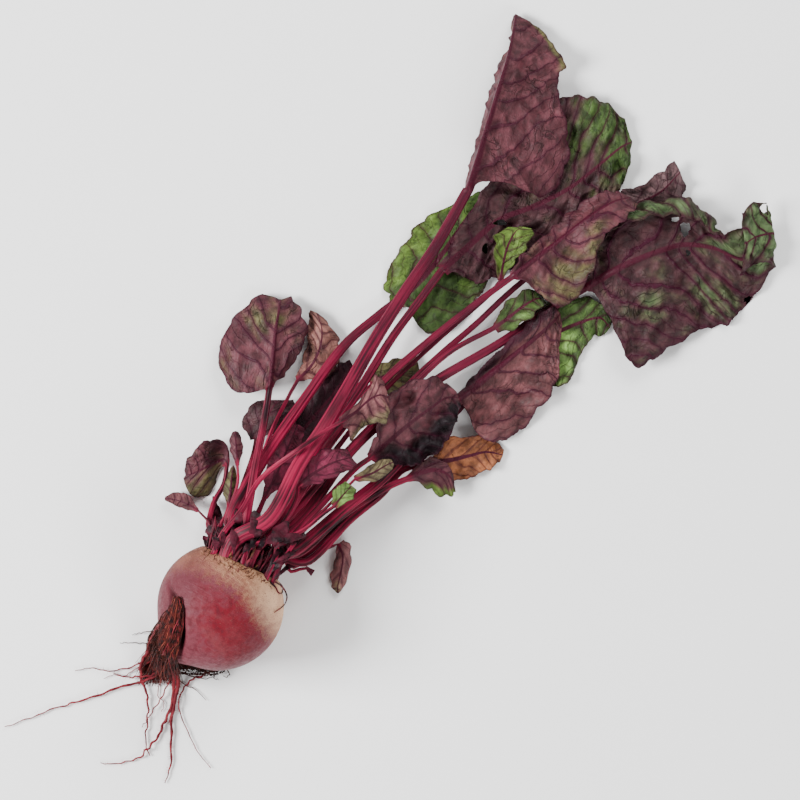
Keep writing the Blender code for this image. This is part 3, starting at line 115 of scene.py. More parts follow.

# %% [markdown]
# ## The leaves on the plan
# Each leaf has a blade given by cross rows of left edge, rib and right edge, from its base to its tip, and a
# stem with its half width and its way to the crown. A stiff leaf rises over the heap as a whole. Some leaves
# name a slot, which nothing in this script reads; a leaf with no slot is a purple one. The list runs from the
# lowest leaf in the heap to the highest.

# %% The leaves
LEAVES = {
    "leaf_stub": {"rows": [
        ((153, 117.5, 7.2), (153.5, 116, 7.2), (153.5, 114.5, 7.2)),
        ((157.5, 115, 6), (156.5, 113.5, 6), (155.5, 112, 6)),
    ], "stem": (1.1, [(145, 114.5), (150, 115.5)])},
    "leaf_hanging_right": {"rows": [
        ((171.5, 131, 5.4), (169, 128, 5.4), (167.5, 125, 5.4)),
        ((176, 127, 3.6), (171.5, 122, 6.6), (167, 119, 3.6)),
        ((175, 115, 3), (170.5, 114, 5.4), (165.5, 113, 2.4)),
        ((172, 107, 1.8), (169, 107.5, 3.6), (166, 107, 1.8)),
        ((170, 104, 1.8), (169, 103.5, 1.8), (168, 104, 1.8)),
    ], "stem": (1.0, [(147, 116.5), (156, 122.5), (164, 126)]), "stiff": True},
    "leaf_dark_behind": {"rows": [
        ((144, 176, 3.6), (145.5, 175, 4.2), (147.5, 174, 3.6)),
        ((149, 193, 1.8), (154, 188, 4.2), (160, 184, 1.8)),
        ((160, 209, 1.5), (165, 201, 3.6), (170, 195, 1.5)),
        ((168, 217, 2.4), (172, 211, 3.6), (175, 206, 2.4)),
        ((175, 220, 2.4), (176, 218, 2.4), (177, 215, 2.4)),
    ], "stem": (1.4, [(131, 148), (141, 168)]), "slot": "leaf_grey"},
    "leaf_grey_between": {"rows": [
        ((130.5, 150, 9), (132, 151, 9), (133.5, 150, 9)),
        ((132, 163, 6.6), (138, 162, 8.4), (145, 160, 6.6)),
        ((138, 178, 5.4), (144, 176, 7.2), (151, 174, 5.4)),
        ((146, 189, 5.4), (149, 188, 6), (152, 186, 5.4)),
    ], "stem": (1.2, [(127, 140)]), "slot": "leaf_grey"},
    "leaf_olive_behind": {"rows": [
        ((184, 209, 2.4), (185.5, 207.5, 3), (187.5, 205, 2.4)),
        ((186, 217, 1.8), (191, 211.5, 3), (196, 202, 1.8)),
        ((196, 220, 1.8), (200, 214, 3), (204, 206, 1.8)),
        ((208, 222, 1.8), (209, 218.5, 2.4), (210, 214, 1.8)),
    ], "stem": (1.3, [(140, 150), (165, 184), (181, 203)]), "slot": "leaf_green"},
    "leaf_green_under": {"rows": [
        ((257.5, 226, 1.8), (259, 225, 1.8), (261, 223.5, 1.8)),
        ((264, 240, 1.8), (270, 230, 1.8), (272, 208, 2.4)),
        ((276, 250, 3), (281, 235, 1.8), (284, 209, 3)),
        ((290, 252, 1.8), (291, 239, 1.8), (290, 222, 1.8)),
        ((301, 248, 1.5), (300, 241, 1.8), (296, 231, 2.4)),
        ((306, 239, 1.5), (305, 236, 1.5), (302, 232.5, 1.5)),
    ], "stem": (2.4, [(150, 122), (175, 142.5), (193, 158), (216, 181), (241, 208)]), "slot": "leaf_green"},
    "leaf_dry_brown": {"rows": [
        ((215, 171, 2.4), (216, 169, 3), (217, 166.5, 2.4)),
        ((219, 180, 3.6), (225, 170, 2.4), (226, 159.5, 3.6)),
        ((234, 182, 4.2), (234, 172, 2.4), (235, 161.5, 3.6)),
        ((245, 182, 3), (243, 174, 2.4), (244, 165, 3.6)),
        ((252, 175, 1.8), (251.5, 172.5, 1.8), (250, 169, 1.8)),
    ], "stem": (2.2, [(155, 120), (175, 140), (191, 153), (200, 164), (210, 168)]), "slot": "leaf_dry"},
    "leaf_grey_left": {"rows": [
        ((125, 179, 6), (128, 180, 6.6), (131, 180, 6)),
        ((121, 187, 3.6), (131, 187.5, 6.6), (140, 184, 4.8)),
        ((125, 197, 3), (135, 194, 6.6), (148, 192, 3.6)),
        ((131, 200, 3.6), (139, 200, 4.8), (147, 200, 3.6)),
    ], "stem": (1.4, [(118, 148), (126, 171)]), "slot": "leaf_grey"},
    "leaf_far_left": {"rows": [
        ((99, 143.5, 8.4), (99.5, 144.5, 8.4), (100, 145.5, 8.4)),
        ((94, 145, 6), (94, 148, 7.2), (95.5, 151.5, 5.4)),
        ((88.5, 147, 4.2), (88.5, 150, 5.4), (89, 154, 3.6)),
        ((82.5, 150, 3), (82.5, 151, 3), (83, 152, 3)),
    ], "stem": (0.8, [(106, 133), (104.5, 139)])},
    "leaf_cupped_left": {"rows": [
        ((112, 166.5, 8), (113.6, 167.5, 8), (115.2, 168.5, 8)),
        ((109.5, 164.5, 5), (111.5, 170, 7), (114, 176.5, 8)),
        ((105.5, 154, 2.4), (106, 168, 5), (107, 181, 8)),
        ((98, 151, 1), (100.5, 165, 3), (99.5, 177, 6)),
        ((93, 157, 1), (96, 163, 2), (94, 171, 4)),
        ((91.8, 161, 1.4), (92.8, 162.5, 1.6), (92.3, 165, 1.6)),
    ], "stem": (1.7, [(104.5, 136), (107, 148.5), (112, 158)]), "stiff": True, "slot": "leaf_green"},
    "leaf_yellow_tip": {"rows": [
        ((113.5, 146.5, 15.6), (114.5, 146, 15.6), (116, 147, 15.6)),
        ((112, 153, 13.2), (115.5, 154, 15.6), (119, 154, 13.2)),
        ((113, 160, 12.6), (116, 161, 14.4), (119, 159, 12.6)),
        ((115.5, 166, 12.6), (117, 167.5, 13.2), (118, 165, 12.6)),
    ], "stem": (1.4, [(108.5, 134), (112.5, 141)]), "slot": "leaf_green"},
    "leaf_upright_small": {"rows": [
        ((118, 167, 15.6), (119, 167, 15.6), (120, 167, 15.6)),
        ((115.5, 174, 13.8), (118.5, 175, 15.6), (121.5, 174, 13.8)),
        ((115, 180, 13.2), (118, 181, 14.4), (121, 180, 13.2)),
        ((116.5, 184, 12.6), (118, 184.5, 13.2), (119.5, 184, 12.6)),
    ], "stem": (1.0, [(114, 140), (119, 158)])},
    "leaf_beside_round": {"rows": [
        ((147, 211, 7.2), (149, 210, 7.8), (151.5, 209, 7.2)),
        ((151, 219, 4.8), (156, 217.5, 7.8), (161, 208.5, 4.8)),
        ((154, 229, 3.6), (160, 226, 7.8), (169, 218, 3.6)),
        ((154, 239, 3.6), (161, 235, 6.6), (168.5, 231, 3.6)),
        ((155, 245, 3.6), (158.5, 243.5, 4.8), (163, 240, 3.6)),
    ], "stem": (1.3, [(124, 148), (135, 182), (144, 201)])},
    "leaf_green_edged": {"rows": [
        ((202, 161.5, 4.2), (203, 160.5, 4.8), (204.5, 159, 4.2)),
        ((210, 169, 3.6), (211, 164, 4.8), (212, 157, 3)),
        ((219, 171, 3), (219, 165, 4.2), (219, 152.5, 1.8)),
        ((225, 166, 2.4), (224.5, 162, 3), (225, 152, 1.8)),
        ((227, 160, 1.8), (227, 157.5, 1.8), (228, 154, 1.8)),
    ], "stem": (2.3, [(150, 124), (170, 141.5), (192, 155.5)]), "slot": "leaf_green"},
    "leaf_green_left": {"rows": [
        ((194, 247, 3.6), (198, 249, 3.6), (201, 246, 3.6)),
        ((192, 256, 1.8), (206, 256, 3.6), (213, 233, 1.8)),
        ((195, 267, 2.4), (214, 264, 3.6), (228, 237.5, 3)),
        ((202, 278, 1.5), (222.5, 275, 3), (240, 252.5, 1.8)),
        ((211, 290, 2.4), (231, 287.5, 3), (248, 275, 2.4)),
        ((225, 297, 1.5), (238, 297.5, 2.4), (248, 292.5, 1.5)),
        ((239, 304, 1.8), (242, 305, 1.8), (245, 303, 1.8)),
    ], "stem": (3.2, [(116, 142), (131, 169), (155, 204), (172.5, 227.5), (189, 242)]), "slot": "leaf_green"},
    "leaf_round_upper": {"rows": [
        ((133, 204, 15.6), (135, 206, 16.2), (137, 206, 15.6)),
        ((120, 203, 10.2), (136, 215, 15), (142, 212, 12)),
        ((110, 216, 6), (137, 225, 13.2), (149, 222, 8.4)),
        ((112, 232.5, 4.2), (138, 235, 11.4), (154, 233.5, 5.4)),
        ((120.5, 245, 3.6), (139.5, 244, 9), (150.5, 245, 4.8)),
        ((131, 253.5, 3.6), (140.5, 250, 5.4), (145.5, 252, 3.6)),
    ], "stem": (2.4, [(122.5, 134), (125.5, 152.5), (128.5, 170), (132, 187.5)]), "underside_up": True},
    "leaf_wrinkled_green": {"rows": [
        ((218, 266, 5.4), (221, 265, 6), (223, 262, 5.4)),
        ((226, 280, 5.4), (235, 277.5, 6), (238, 258, 3.6)),
        ((240, 302, 6), (250, 290, 5.4), (252.5, 264, 5.4)),
        ((255, 327, 3.6), (267.5, 297, 6), (270, 272.5, 3.6)),
        ((270, 347, 4.8), (285, 306, 6.6), (288, 282.5, 4.8)),
        ((287.5, 352, 6), (299, 317, 6), (303, 295, 3.6)),
        ((303, 349, 3.6), (310, 326, 5.4), (312, 310, 4.8)),
        ((312, 338, 3), (316, 329, 3), (315, 320, 3)),
    ], "stem": (2.8, [(140, 145), (156, 170), (168, 188), (181, 207), (196, 231), (210, 250)]),
        "slot": "leaf_green"},
    "leaf_dark_tip": {"rows": [
        ((275, 273, 4.2), (277.5, 272.5, 4.8), (280, 270, 4.2)),
        ((292.5, 295, 3), (300, 289, 4.8), (305, 277.5, 2.4)),
        ((307.5, 303, 4.8), (316, 297, 4.8), (322.5, 286, 2.4)),
        ((323, 309, 7.2), (330, 304, 4.2), (336, 294, 2.4)),
        ((337.5, 319, 6), (340, 314, 3.6), (343, 305, 3)),
    ], "stem": (2.0, [(145, 140), (173, 172), (203, 206), (220, 222.5), (238, 238), (255, 254)]),
        "underside_up": True},
    "leaf_big_holed": {"rows": [
        ((291, 257.5, 3), (292.5, 256, 3.6), (294, 254, 3)),
        ((296, 270.5, 7), (302.5, 262, 3.6), (306, 237.5, 2.4)),
        ((305, 284, 11), (314, 268, 3.6), (317, 217, 1.8)),
        ((322.5, 291, 12), (327.5, 273.5, 3.6), (332, 224, 1.2)),
        ((339, 292, 12), (341, 277.5, 3.6), (350, 235, 1.8)),
        ((351.5, 287, 10), (356.1, 276.1, 3.2), (363.6, 237.9, 1.5)),
        ((361.5, 283, 7), (373.2, 270.6, 2.4), (372.7, 248, 1.7)),
        ((384, 294, 6), (386.8, 282.4, 5.5), (385.9, 266.5, 6.1)),
        ((377, 299, 12), (378.5, 281.7, 10.3), (376.3, 267.6, 11.2)),
        ((370.5, 293, 13), (372, 277.9, 11.9), (369.4, 261.5, 12.5)),
    ], "stem": (2.9, [(150, 140), (175, 174), (200, 197), (220, 211), (250, 228.5), (274, 245)]),
        "stiff": True, "underside_up": True, "shoulder": {
            1: (297, 270, 4.2), 2: (300, 289.5, 5), 3: (320, 297, 5.5),
            4: (341, 301, 5.5), 5: (353, 291, 5), 6: (365, 280, 4.5),
        }},
    "leaf_big_low": {"rows": [
        ((226, 201, 5.4), (227.5, 200, 5.4), (228.5, 198, 5.4)),
        ((234, 209, 3), (237, 206, 5.4), (240, 181, 3.6)),
        ((245, 220, 2.4), (248, 215, 5.4), (256, 181.5, 2.4)),
        ((256, 230.5, 2.4), (259, 224, 5.4), (269, 195, 2.4)),
        ((266, 240, 2.4), (269, 232, 4.8), (278.5, 210, 2.4)),
        ((274, 245.5, 2.4), (276, 238.5, 4.2), (280, 225, 2.4)),
        ((278, 246, 2.4), (280, 243, 3), (281, 237.5, 2.4)),
    ], "stem": (3.3, [(150, 127), (172.5, 146), (192.5, 162), (210, 181)]), "underside_up": True},
    "leaf_bright_folded": {"rows": [
        ((246, 237.5, 5.4), (247, 236, 4.8), (248, 233, 5.4)),
        ((250, 245, 7.2), (254, 241, 4.2), (256, 235, 6)),
        ((256.5, 251.5, 7.8), (261, 246.5, 4.8), (265, 241, 7.2)),
        ((265, 255.5, 6), (268, 250.5, 4.8), (270.5, 246, 6.6)),
        ((271, 252.5, 4.8), (272, 250, 4.8), (273, 248, 4.8)),
    ], "stem": (1.9, [(146, 143), (175, 176), (205, 206), (225, 224)]), "slot": "leaf_green"},
    "leaf_pale_folded": {"rows": [
        ((248.5, 259, 8.4), (250, 259.5, 7.8), (251.5, 259.5, 8.4)),
        ((247.5, 267.5, 10.8), (251.5, 269, 7.8), (256, 267, 9.6)),
        ((247, 277.5, 12), (254, 277.5, 9), (262, 274, 10.8)),
        ((248, 283, 12), (257.5, 284, 9.6), (266.5, 282, 11.4)),
        ((254, 286, 10.8), (261, 286.5, 10.2), (266, 285.5, 10.8)),
    ], "stem": (1.5, [(143, 144), (187, 199), (219, 230), (243, 251)]),
        "underside_up": True, "slot": "leaf_green"},
    "leaf_fan_purple": {"rows": [
        ((254, 263, 11.4), (256, 261.5, 12), (258, 259.5, 11.4)),
        ((260, 271, 10.2), (265, 268.5, 12), (272.5, 250, 9)),
        ((269, 280, 9), (275, 276, 12), (284, 247.5, 7.8)),
        ((278, 287.5, 8.4), (285, 284, 10.8), (296, 264, 7.8)),
        ((287.5, 296, 7.2), (295, 292, 9), (301, 280, 7.2)),
        ((300, 303.5, 6.6), (306, 298.5, 7.8), (312, 290, 6.6)),
        ((309, 304, 6), (315, 301, 6.6), (319, 297.5, 6)),
    ], "stem": (2.3, [(143, 142), (165, 178), (191.5, 209), (215, 230), (239, 249)]), "underside_up": True},
    "leaf_crumpled_dark": {"rows": [
        ((183, 172.5, 20.6), (185, 171, 20.6), (187, 168.5, 20.6)),
        ((188, 187.5, 18.8), (194, 179, 17.0), (200, 167, 18.8)),
        ((193, 201, 16.4), (204, 187.5, 18.2), (212.5, 169, 15.2)),
        ((205, 209.5, 15.2), (214, 195, 18.2), (222.5, 177.5, 14.6)),
        ((219, 211, 14.6), (223, 201, 16.4), (228, 190, 14.0)),
        ((228, 204, 14.0), (229.5, 201, 14.6), (230, 197, 14.0)),
    ], "stem": (2.0, [(149, 135), (167.5, 155), (178, 166)])},
    "leaf_oval_purple": {"rows": [
        ((148, 159, 31.0), (149.5, 157.5, 31.0), (151.5, 155.5, 31.0)),
        ((151.5, 169, 29.2), (157, 163.5, 31.0), (162.5, 159.5, 29.2)),
        ((162.5, 175.5, 28.0), (167, 169, 30.4), (172.5, 164, 28.0)),
        ((174, 175.5, 27.4), (176, 171.5, 28.6), (179, 168, 27.4)),
    ], "stem": (1.5, [(140, 134), (148, 149)]), "underside_up": True},
    "leaf_top_folded": {"rows": [
        ((232, 304, 16.2), (234, 305, 18), (237, 306, 17.4)),
        ((235, 317.5, 9.6), (238.5, 318.5, 18.6), (257.5, 307, 14.4)),
        ((239, 330, 6), (242, 331, 18.6), (272.5, 301.5, 10.2)),
        ((243, 344, 4.8), (246, 344, 17.4), (283.5, 317.5, 7.8)),
        ((246.5, 356, 3.6), (250, 357.5, 15.6), (283, 337.5, 6)),
        ((250, 366, 3), (253.5, 369, 13.2), (278.5, 357.5, 6)),
        ((254, 379, 2.4), (256, 380, 9.6), (282, 369, 9)),
        ((256, 388, 2.4), (257.5, 388, 6), (269, 386.5, 4.8)),
        ((257, 392, 2.4), (258, 392.5, 3), (260, 391.5, 3)),
    ], "stem": (3.9, [(136, 142), (150, 168), (162, 186), (174, 206), (187, 229), (202, 253), (218, 277)]),
        "stiff": True, "underside_up": True},
    "leaf_olive_small": {"rows": [
        ((176, 162, 27.0), (177.5, 160.5, 27.0), (179, 159, 27.0)),
        ((184, 167, 25.8), (186, 163.5, 26.4), (188, 159.5, 25.2)),
        ((191, 170.5, 24.6), (193, 167.5, 25.2), (195, 164.5, 24.0)),
        ((195.5, 170.5, 24.0), (196.5, 169, 24.0), (197, 167.5, 24.0)),
    ], "stem": (1.0, [(154, 137), (171, 154)]), "slot": "leaf_green"},
    "leaf_green_bud": {"rows": [
        ((165.5, 148.5, 32.0), (167, 147, 31.4), (169, 146, 32.0)),
        ((167, 155.5, 32.6), (171.5, 152.5, 30.2), (176, 150.5, 32.6)),
        ((173, 159.5, 30.8), (176, 157.5, 30.2), (178.5, 155.5, 30.8)),
    ], "stem": (1.3, [(149, 134), (162, 143.5)]), "slot": "leaf_green"},
    "leaf_tan_middle": {"rows": [
        ((169, 191, 29.0), (170.5, 189, 29.0), (171.5, 186, 29.0)),
        ((178, 198, 26.6), (178, 194, 27.2), (176, 180, 23.6)),
        ((184.5, 206, 25.4), (184.5, 200, 26.0), (184, 188, 21.8)),
        ((189, 213, 23.0), (190, 202.5, 24.2), (192, 188, 20.0)),
        ((192.5, 208, 21.2), (194, 201, 21.8), (195, 194, 19.4)),
    ], "stem": (1.5, [(122, 146), (131, 161), (147.5, 174), (162, 184)])},
}

# These leaves touch the surface that the plant lies on, spread round its weight.
ON_THE_SURFACE = ("leaf_cupped_left", "leaf_green_under", "leaf_green_left", "leaf_big_holed")
print(len(LEAVES), "leaves")

# %% [markdown]
# ## Blades and stems
# A blade is a skin between its ribs and edges. Its section is a soft bow from the rib to each edge, its edge
# waves up and down, and shallow scallops are cut into it. A stem is a flattened round rod that passes into
# the rib. Working with whole rows of points at once keeps this short and quick.

# %% Blade and stem sections
BULB_PLACE = (110.5, 97.0)
BULB_CENTRE = np.array([*BULB_PLACE, 28.6])
CROWN_AZIMUTH = math.radians(65.0)
CROWN_DISTANCE = 24.5
CROWN_AXIS = np.array([math.cos(CROWN_AZIMUTH), math.sin(CROWN_AZIMUTH), 0.0])
CROWN_ACROSS = np.array([math.sin(CROWN_AZIMUTH), -math.cos(CROWN_AZIMUTH), 0.0])
CROWN_UP = np.cross(CROWN_ACROSS, CROWN_AXIS)
STEM_STRAIGHT = 10.0
GAP = 0.4
# How far the edge waves up and down and in and out, and the half width at which it does so in full.
EDGE_WAVE = 1.1
EDGE_CUT = 0.55
FULL_WAVE = 12
FULL_CUT = 9
WAVE_LENGTH = 17.0
SCALLOP = 1.3
SCALLOP_LENGTH = 7.3
# Parts of a stem's half width: the lip at its sides, and the rise and drop of its middle beyond the lip.
STEM_LIP = 0.12
STEM_RISE = 0.38
STEM_DROP = 0.66


def crown_point(across, up, out):
    """A place on the plan, given across, up and out from the flat face that the stems leave."""
    return BULB_CENTRE + CROWN_AXIS * (CROWN_DISTANCE + out) + CROWN_ACROSS * across + CROWN_UP * up


def side_curve(rib, edge, shoulder, share):
    """A soft bow from the rib to the edge, over a shoulder halfway where one is given."""
    middle = (rib + edge) / 2 if shoulder is None else shoulder
    control = 2 * middle - (rib + edge) / 2
    share = np.asarray(share)[:, None]
    return (1 - share) ** 2 * rib + 2 * share * (1 - share) * control + share**2 * edge


def blade_sections(leaf, along, columns, scallop=0.0):
    """For each place along the blade, its points from the left edge over the rib to the right edge."""
    left, rib, right = (np.array([row[k] for row in leaf["rows"]], float) for k in range(3))
    shoulders = leaf.get("shoulder", {})
    turned = np.array([shoulders.get(k, tuple((left[k] + rib[k]) / 2)) for k in range(len(rib))], float)
    first = 1 / (len(rib) - 1)
    widening = np.where(along < first, first * (along / first) ** 1.7, along)
    spine = curve_through(rib, along)
    lines = [spine + curve_through(line - rib, widening) for line in (left, rib, right, turned)]
    length = np.linalg.norm(np.diff(rib, axis=0), axis=1).sum()
    waves = max(2.0, length / WAVE_LENGTH)
    share = np.linspace(0, 1, columns)[1:]
    sections = []
    for k, t in enumerate(along):
        edge_left, middle, edge_right, shoulder = (line[k] for line in lines)
        sides = []
        for sign, edge, bend in ((-1, edge_left, shoulder), (1, edge_right, None)):
            reach = edge - middle
            width = np.linalg.norm(reach)
            phase = 2 * math.pi * waves * t + sign * 0.9
            uneven = 0.6 * math.sin(length * t / 11)
            teeth = abs(math.sin(math.pi * length * t / SCALLOP_LENGTH + sign + uneven))
            ragged = math.sin(2.9 * length * t + 5 * sign) * math.sin(1.3 * length * t)
            cut = EDGE_CUT * math.sin(1.7 * phase + 1.1) + scallop * (teeth**0.6 - 0.75 + 0.22 * ragged)
            edge = edge + reach / max(width, 1e-6) * cut * smooth_step(width / FULL_CUT)
            side = side_curve(middle, edge, bend, share)
            ruffle = EDGE_WAVE * smooth_step(width / FULL_WAVE) * math.sin(phase)
            side[:, 2] += ruffle * share**2
            sides.append(side)
        sections.append(np.vstack([sides[0][::-1], middle, sides[1]]))
    return np.array(sections)


def stem_section(centre, forward, half_width, columns, ribbed=0.0):
    """The upper and lower halves of a stem's cross section, each from left to right."""
    flat = np.array([forward[0], forward[1], 0.0])
    flat /= max(np.linalg.norm(flat), 1e-6)
    right = np.array([flat[1], -flat[0], 0.0])
    up = np.cross(right, forward / np.linalg.norm(forward))
    angle = np.linspace(-math.pi / 2, math.pi / 2, 2 * columns - 1)
    across = np.sin(angle)[:, None] * half_width * right
    arch = np.cos(angle)[:, None] * (1 + ribbed * np.cos(7 * angle + 0.5)[:, None])
    lip = STEM_LIP * half_width
    upper = centre + across + up * (lip + STEM_RISE * half_width * arch)
    lower = centre + across - up * (lip + STEM_DROP * half_width * arch)
    return upper, lower


def softened(values, axis):
    """Each value mixes with its two neighbours along an axis."""
    padded = [(1, 1) if k == axis else (0, 0) for k in range(2)]
    values = np.pad(values, padded, mode="edge")
    count = values.shape[axis] - 2
    before, here, after = (np.take(values, range(k, k + count), axis) for k in range(3))
    return (before + 2 * here + after) / 4


print("the crown faces", CROWN_AXIS.round(2), "on the plan")

# %% [markdown]
# ## The feet of the stems
# Where a stem leaves the crown is measured on its solid: the ring of points that lies nearest to the root.
# The fine stems then stand on the same places, and no list of feet has to be kept in step by hand.

# %% Find the feet
FOOT_RING = 0.6
CROWN_EDGE = 21.5


def foot_of(name):
    """Where a solid leaf's stem starts, as places across and up the crown's face."""
    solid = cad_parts[name]
    points = np.array([point.co for point in solid.data.vertices]) / MM
    turned = points.copy()
    turned[:, 0] = points[:, 0] * math.cos(PLAN_TURN) + points[:, 1] * math.sin(PLAN_TURN) + PLAN_ORIGIN[0]
    turned[:, 1] = points[:, 1] * math.cos(PLAN_TURN) - points[:, 0] * math.sin(PLAN_TURN) + PLAN_ORIGIN[1]
    away = turned - crown_point(0, 0, GAP)
    across, up = away @ CROWN_ACROSS, away @ CROWN_UP
    ring = (np.abs(away @ CROWN_AXIS) < FOOT_RING) & (np.abs(across) < CROWN_EDGE)
    return (across[ring].min() + across[ring].max()) / 2, (up[ring].min() + up[ring].max()) / 2


for name, leaf in LEAVES.items():
    leaf["foot"] = foot_of(name)
feet = np.array([leaf["foot"] for leaf in LEAVES.values()])
print("feet lie from", feet.min(axis=0).round(1), "to", feet.max(axis=0).round(1), "across and up the crown")

# %% [markdown]
# ## Whole leaf skins
# A leaf is one growth, so stem and blade are one pair of skins: rows of points that run from the foot of the
# stem, over the base of the blade, to its tip. The stem tapers towards the blade and goes on below it as the
# rib, which swells the underside, as a real midrib does. The thin blade lies half its thickness to each side.

# %% Whole leaf skins
STEM_FOOT = 1.05
STEM_TAPER = 0.37
RIB_SWELL = 0.7
RIB_TAPER = 0.8
RIB_SPREAD = 1.2


def leaf_skin(leaf, stem_steps, blade_steps, columns, crumple, thick=0.8, sunk=0.0, ribbed=0.0):
    """Points of the leaf's upper and lower skins, as arrays of cross sections from foot to tip."""
    half_width, route = leaf["stem"]
    foot = crown_point(*leaf["foot"], GAP - sunk)
    shoot = crown_point(*leaf["foot"], STEM_STRAIGHT)
    base = np.array(leaf["rows"][0][1], float)
    path = np.vstack([foot[:2], shoot[:2], np.array(route, float), base[:2]])
    places = even_parameters(path, stem_steps + 1)
    fall = smooth_step(np.linspace(0, 1, stem_steps + 1))
    centres = np.column_stack([curve_through(path, places), foot[2] + (base[2] - foot[2]) * fall])
    ahead = np.vstack([centres[1:], leaf["rows"][1][1]])
    uppers, lowers = [], []
    for k, centre in enumerate(centres):
        forward = CROWN_AXIS if k == 0 else ahead[k] - centres[k - 1]
        taper = STEM_FOOT - STEM_TAPER * k / stem_steps
        upper, lower = stem_section(centre, forward, half_width * taper, columns, ribbed)
        uppers.append(upper)
        lowers.append(lower)
    along = even_parameters([row[1] for row in leaf["rows"]], blade_steps + 1)[1:]
    middle = blade_sections(leaf, along, columns, SCALLOP)
    outward = unit(np.cross(np.gradient(middle, axis=1), np.gradient(middle, axis=0)))
    for _ in range(1 + columns // 8):
        outward = unit(np.stack([softened(softened(outward[:, :, k], 0), 1) for k in range(3)], axis=2))
    middle = middle + outward * crumple[:, :, None]
    from_rib = np.linalg.norm(middle - middle[:, columns - 1 : columns], axis=2)
    swell = RIB_SWELL * half_width * (1 - RIB_TAPER * along)[:, None]
    ridge = swell * np.exp(-((from_rib / (RIB_SPREAD * swell)) ** 2))
    upright = outward[:, columns - 1 : columns]
    skins = [middle + outward * thick / 2, middle - outward * thick / 2]
    if leaf.get("underside_up", False):
        skins[0] += upright * ridge[:, :, None]
    else:
        skins[1] -= upright * ridge[:, :, None]
    return np.vstack([uppers, skins[0]]), np.vstack([lowers, skins[1]])


trial_skin, _lower = leaf_skin(LEAVES["leaf_stub"], 8, 12, 4, np.zeros((12, 7)))
print("a coarse skin of the stub has", len(trial_skin), "rows of", len(trial_skin[0]), "points")

# %% [markdown]
# ## The heap
# Real leaves rest on one another. Each leaf is laid in turn, coarsely, on a height map of what already lies
# there, and is raised just enough to lie over it. The fine leaf later takes the same lift.

# %% Lay the leaves on one another
HEAP_GAP = 0.6
HEAP_ROUNDS = 16
HEAP_CLOSE = 0.02
PATCH_SAMPLES = 5
LAY_ROW = 2.6
LAY_STEM_ROW = 8.0
LAY_COLUMNS = 4
# Space between side veins on blades longer than the first number.
VEIN_GAPS = ((55, 12.5), (38, 9.5), (22, 6.5), (0, 4.5))
VEIN_SLOPE = 0.95
VEIN_CURVE = 0.004
VEIN_SHIFT = 0.27
PILLOW = 1.25
# Folds of a blade: height, wavelength and a number that sets each kind apart.
FOLDS = ((0.9, 34.0, 0), (0.5, 13.0, 50))
SMALL_FOLD = (0.17, 4.6, 70)


def skin_samples(skin, count):
    """Points spread over each four-cornered patch of a skin, as an array by row, column and sample."""
    low, high = skin[:-1], skin[1:]
    share = np.linspace(0, 1, count)
    across, along = (grid.ravel()[:, None] for grid in np.meshgrid(share, share))
    near = low[:, :-1, None] * (1 - across) + low[:, 1:, None] * across
    far = high[:, :-1, None] * (1 - across) + high[:, 1:, None] * across
    return near * (1 - along) + far * along


def map_cells(samples):
    """The cells of the height map that samples lie in."""
    cells = np.clip(samples[..., :2].astype(int), 0, PLAN_SIZE - 1)
    return cells[..., 0], cells[..., 1]


def widest(values, axis, reach):
    """The highest value within reach along an axis."""
    padded = [(reach, reach) if k == axis else (0, 0) for k in range(2)]
    values = np.pad(values, padded, mode="edge")
    count = values.shape[axis] - 2 * reach
    return np.max([np.take(values, range(k, k + count), axis) for k in range(2 * reach + 1)], axis=0)


def shortfall(ground, skins):
    """How far each patch of the skins still lies below the heap."""
    short = 0.0
    for skin in skins:
        samples = skin_samples(skin, PATCH_SAMPLES)
        floor = ground[map_cells(samples)]
        floor = np.where(floor > 0, floor + HEAP_GAP, 0.0)
        short = np.maximum(short, (floor - samples[..., 2]).max(axis=2))
    return short


def lift_over(ground, skins, stem_rows, stiff):
    """Raises a leaf in rounds until it lies over the heap. A stiff one rises as a whole."""
    steps, wide = skins[0].shape[:2]
    lift = np.zeros((steps, wide))
    for _ in range(HEAP_ROUNDS):
        raised = [skin + lift[:, :, None] * (0.0, 0.0, 1.0) for skin in skins]
        short = shortfall(ground, raised)
        if short.max() < HEAP_CLOSE:
            break
        need = np.zeros((steps + 1, wide + 1))
        need[1:-1, 1:-1] = short
        need = np.max([need[:-1, :-1], need[1:, :-1], need[:-1, 1:], need[1:, 1:]], axis=0)
        held = steps if stiff else stem_rows + 1
        need[:held] = need[:held].max(axis=1)[:, None]
        wide_need = widest(widest(need, 0, 2), 1, 2)
        wide_need[:stem_rows] = need[:stem_rows]
        for _ in range(3):
            wide_need = softened(softened(wide_need, 0), 1)
        lift += wide_need
    return lift


def leaf_lengths(leaf):
    """Lengths of the stem and the blade, and the blade's widest side, in millimetres."""
    left, rib, right = (np.array([row[k] for row in leaf["rows"]], float) for k in range(3))
    blade = np.linalg.norm(np.diff(rib, axis=0), axis=1).sum()
    start = tuple(BULB_CENTRE[:2] + CROWN_AXIS[:2] * CROWN_DISTANCE)
    route = np.array([start, *leaf["stem"][1], tuple(rib[0, :2])], float)
    stem = np.linalg.norm(np.diff(route, axis=0), axis=1).sum()
    side = max(np.linalg.norm(left - rib, axis=1).max(), np.linalg.norm(right - rib, axis=1).max())
    return stem, blade, side


def leaf_grid(leaf, row, stem_row, fewest):
    """Counts of stem rows, blade rows and columns for rows of a given width."""
    stem, blade, side = leaf_lengths(leaf)
    steps = max(2 * fewest, round(stem / stem_row)), max(3 * fewest, round(blade / row))
    return *steps, max(fewest, round(side / row))


def vein_gap(leaf):
    blade = leaf_lengths(leaf)[1]
    return next(gap for longer, gap in VEIN_GAPS if blade > longer)


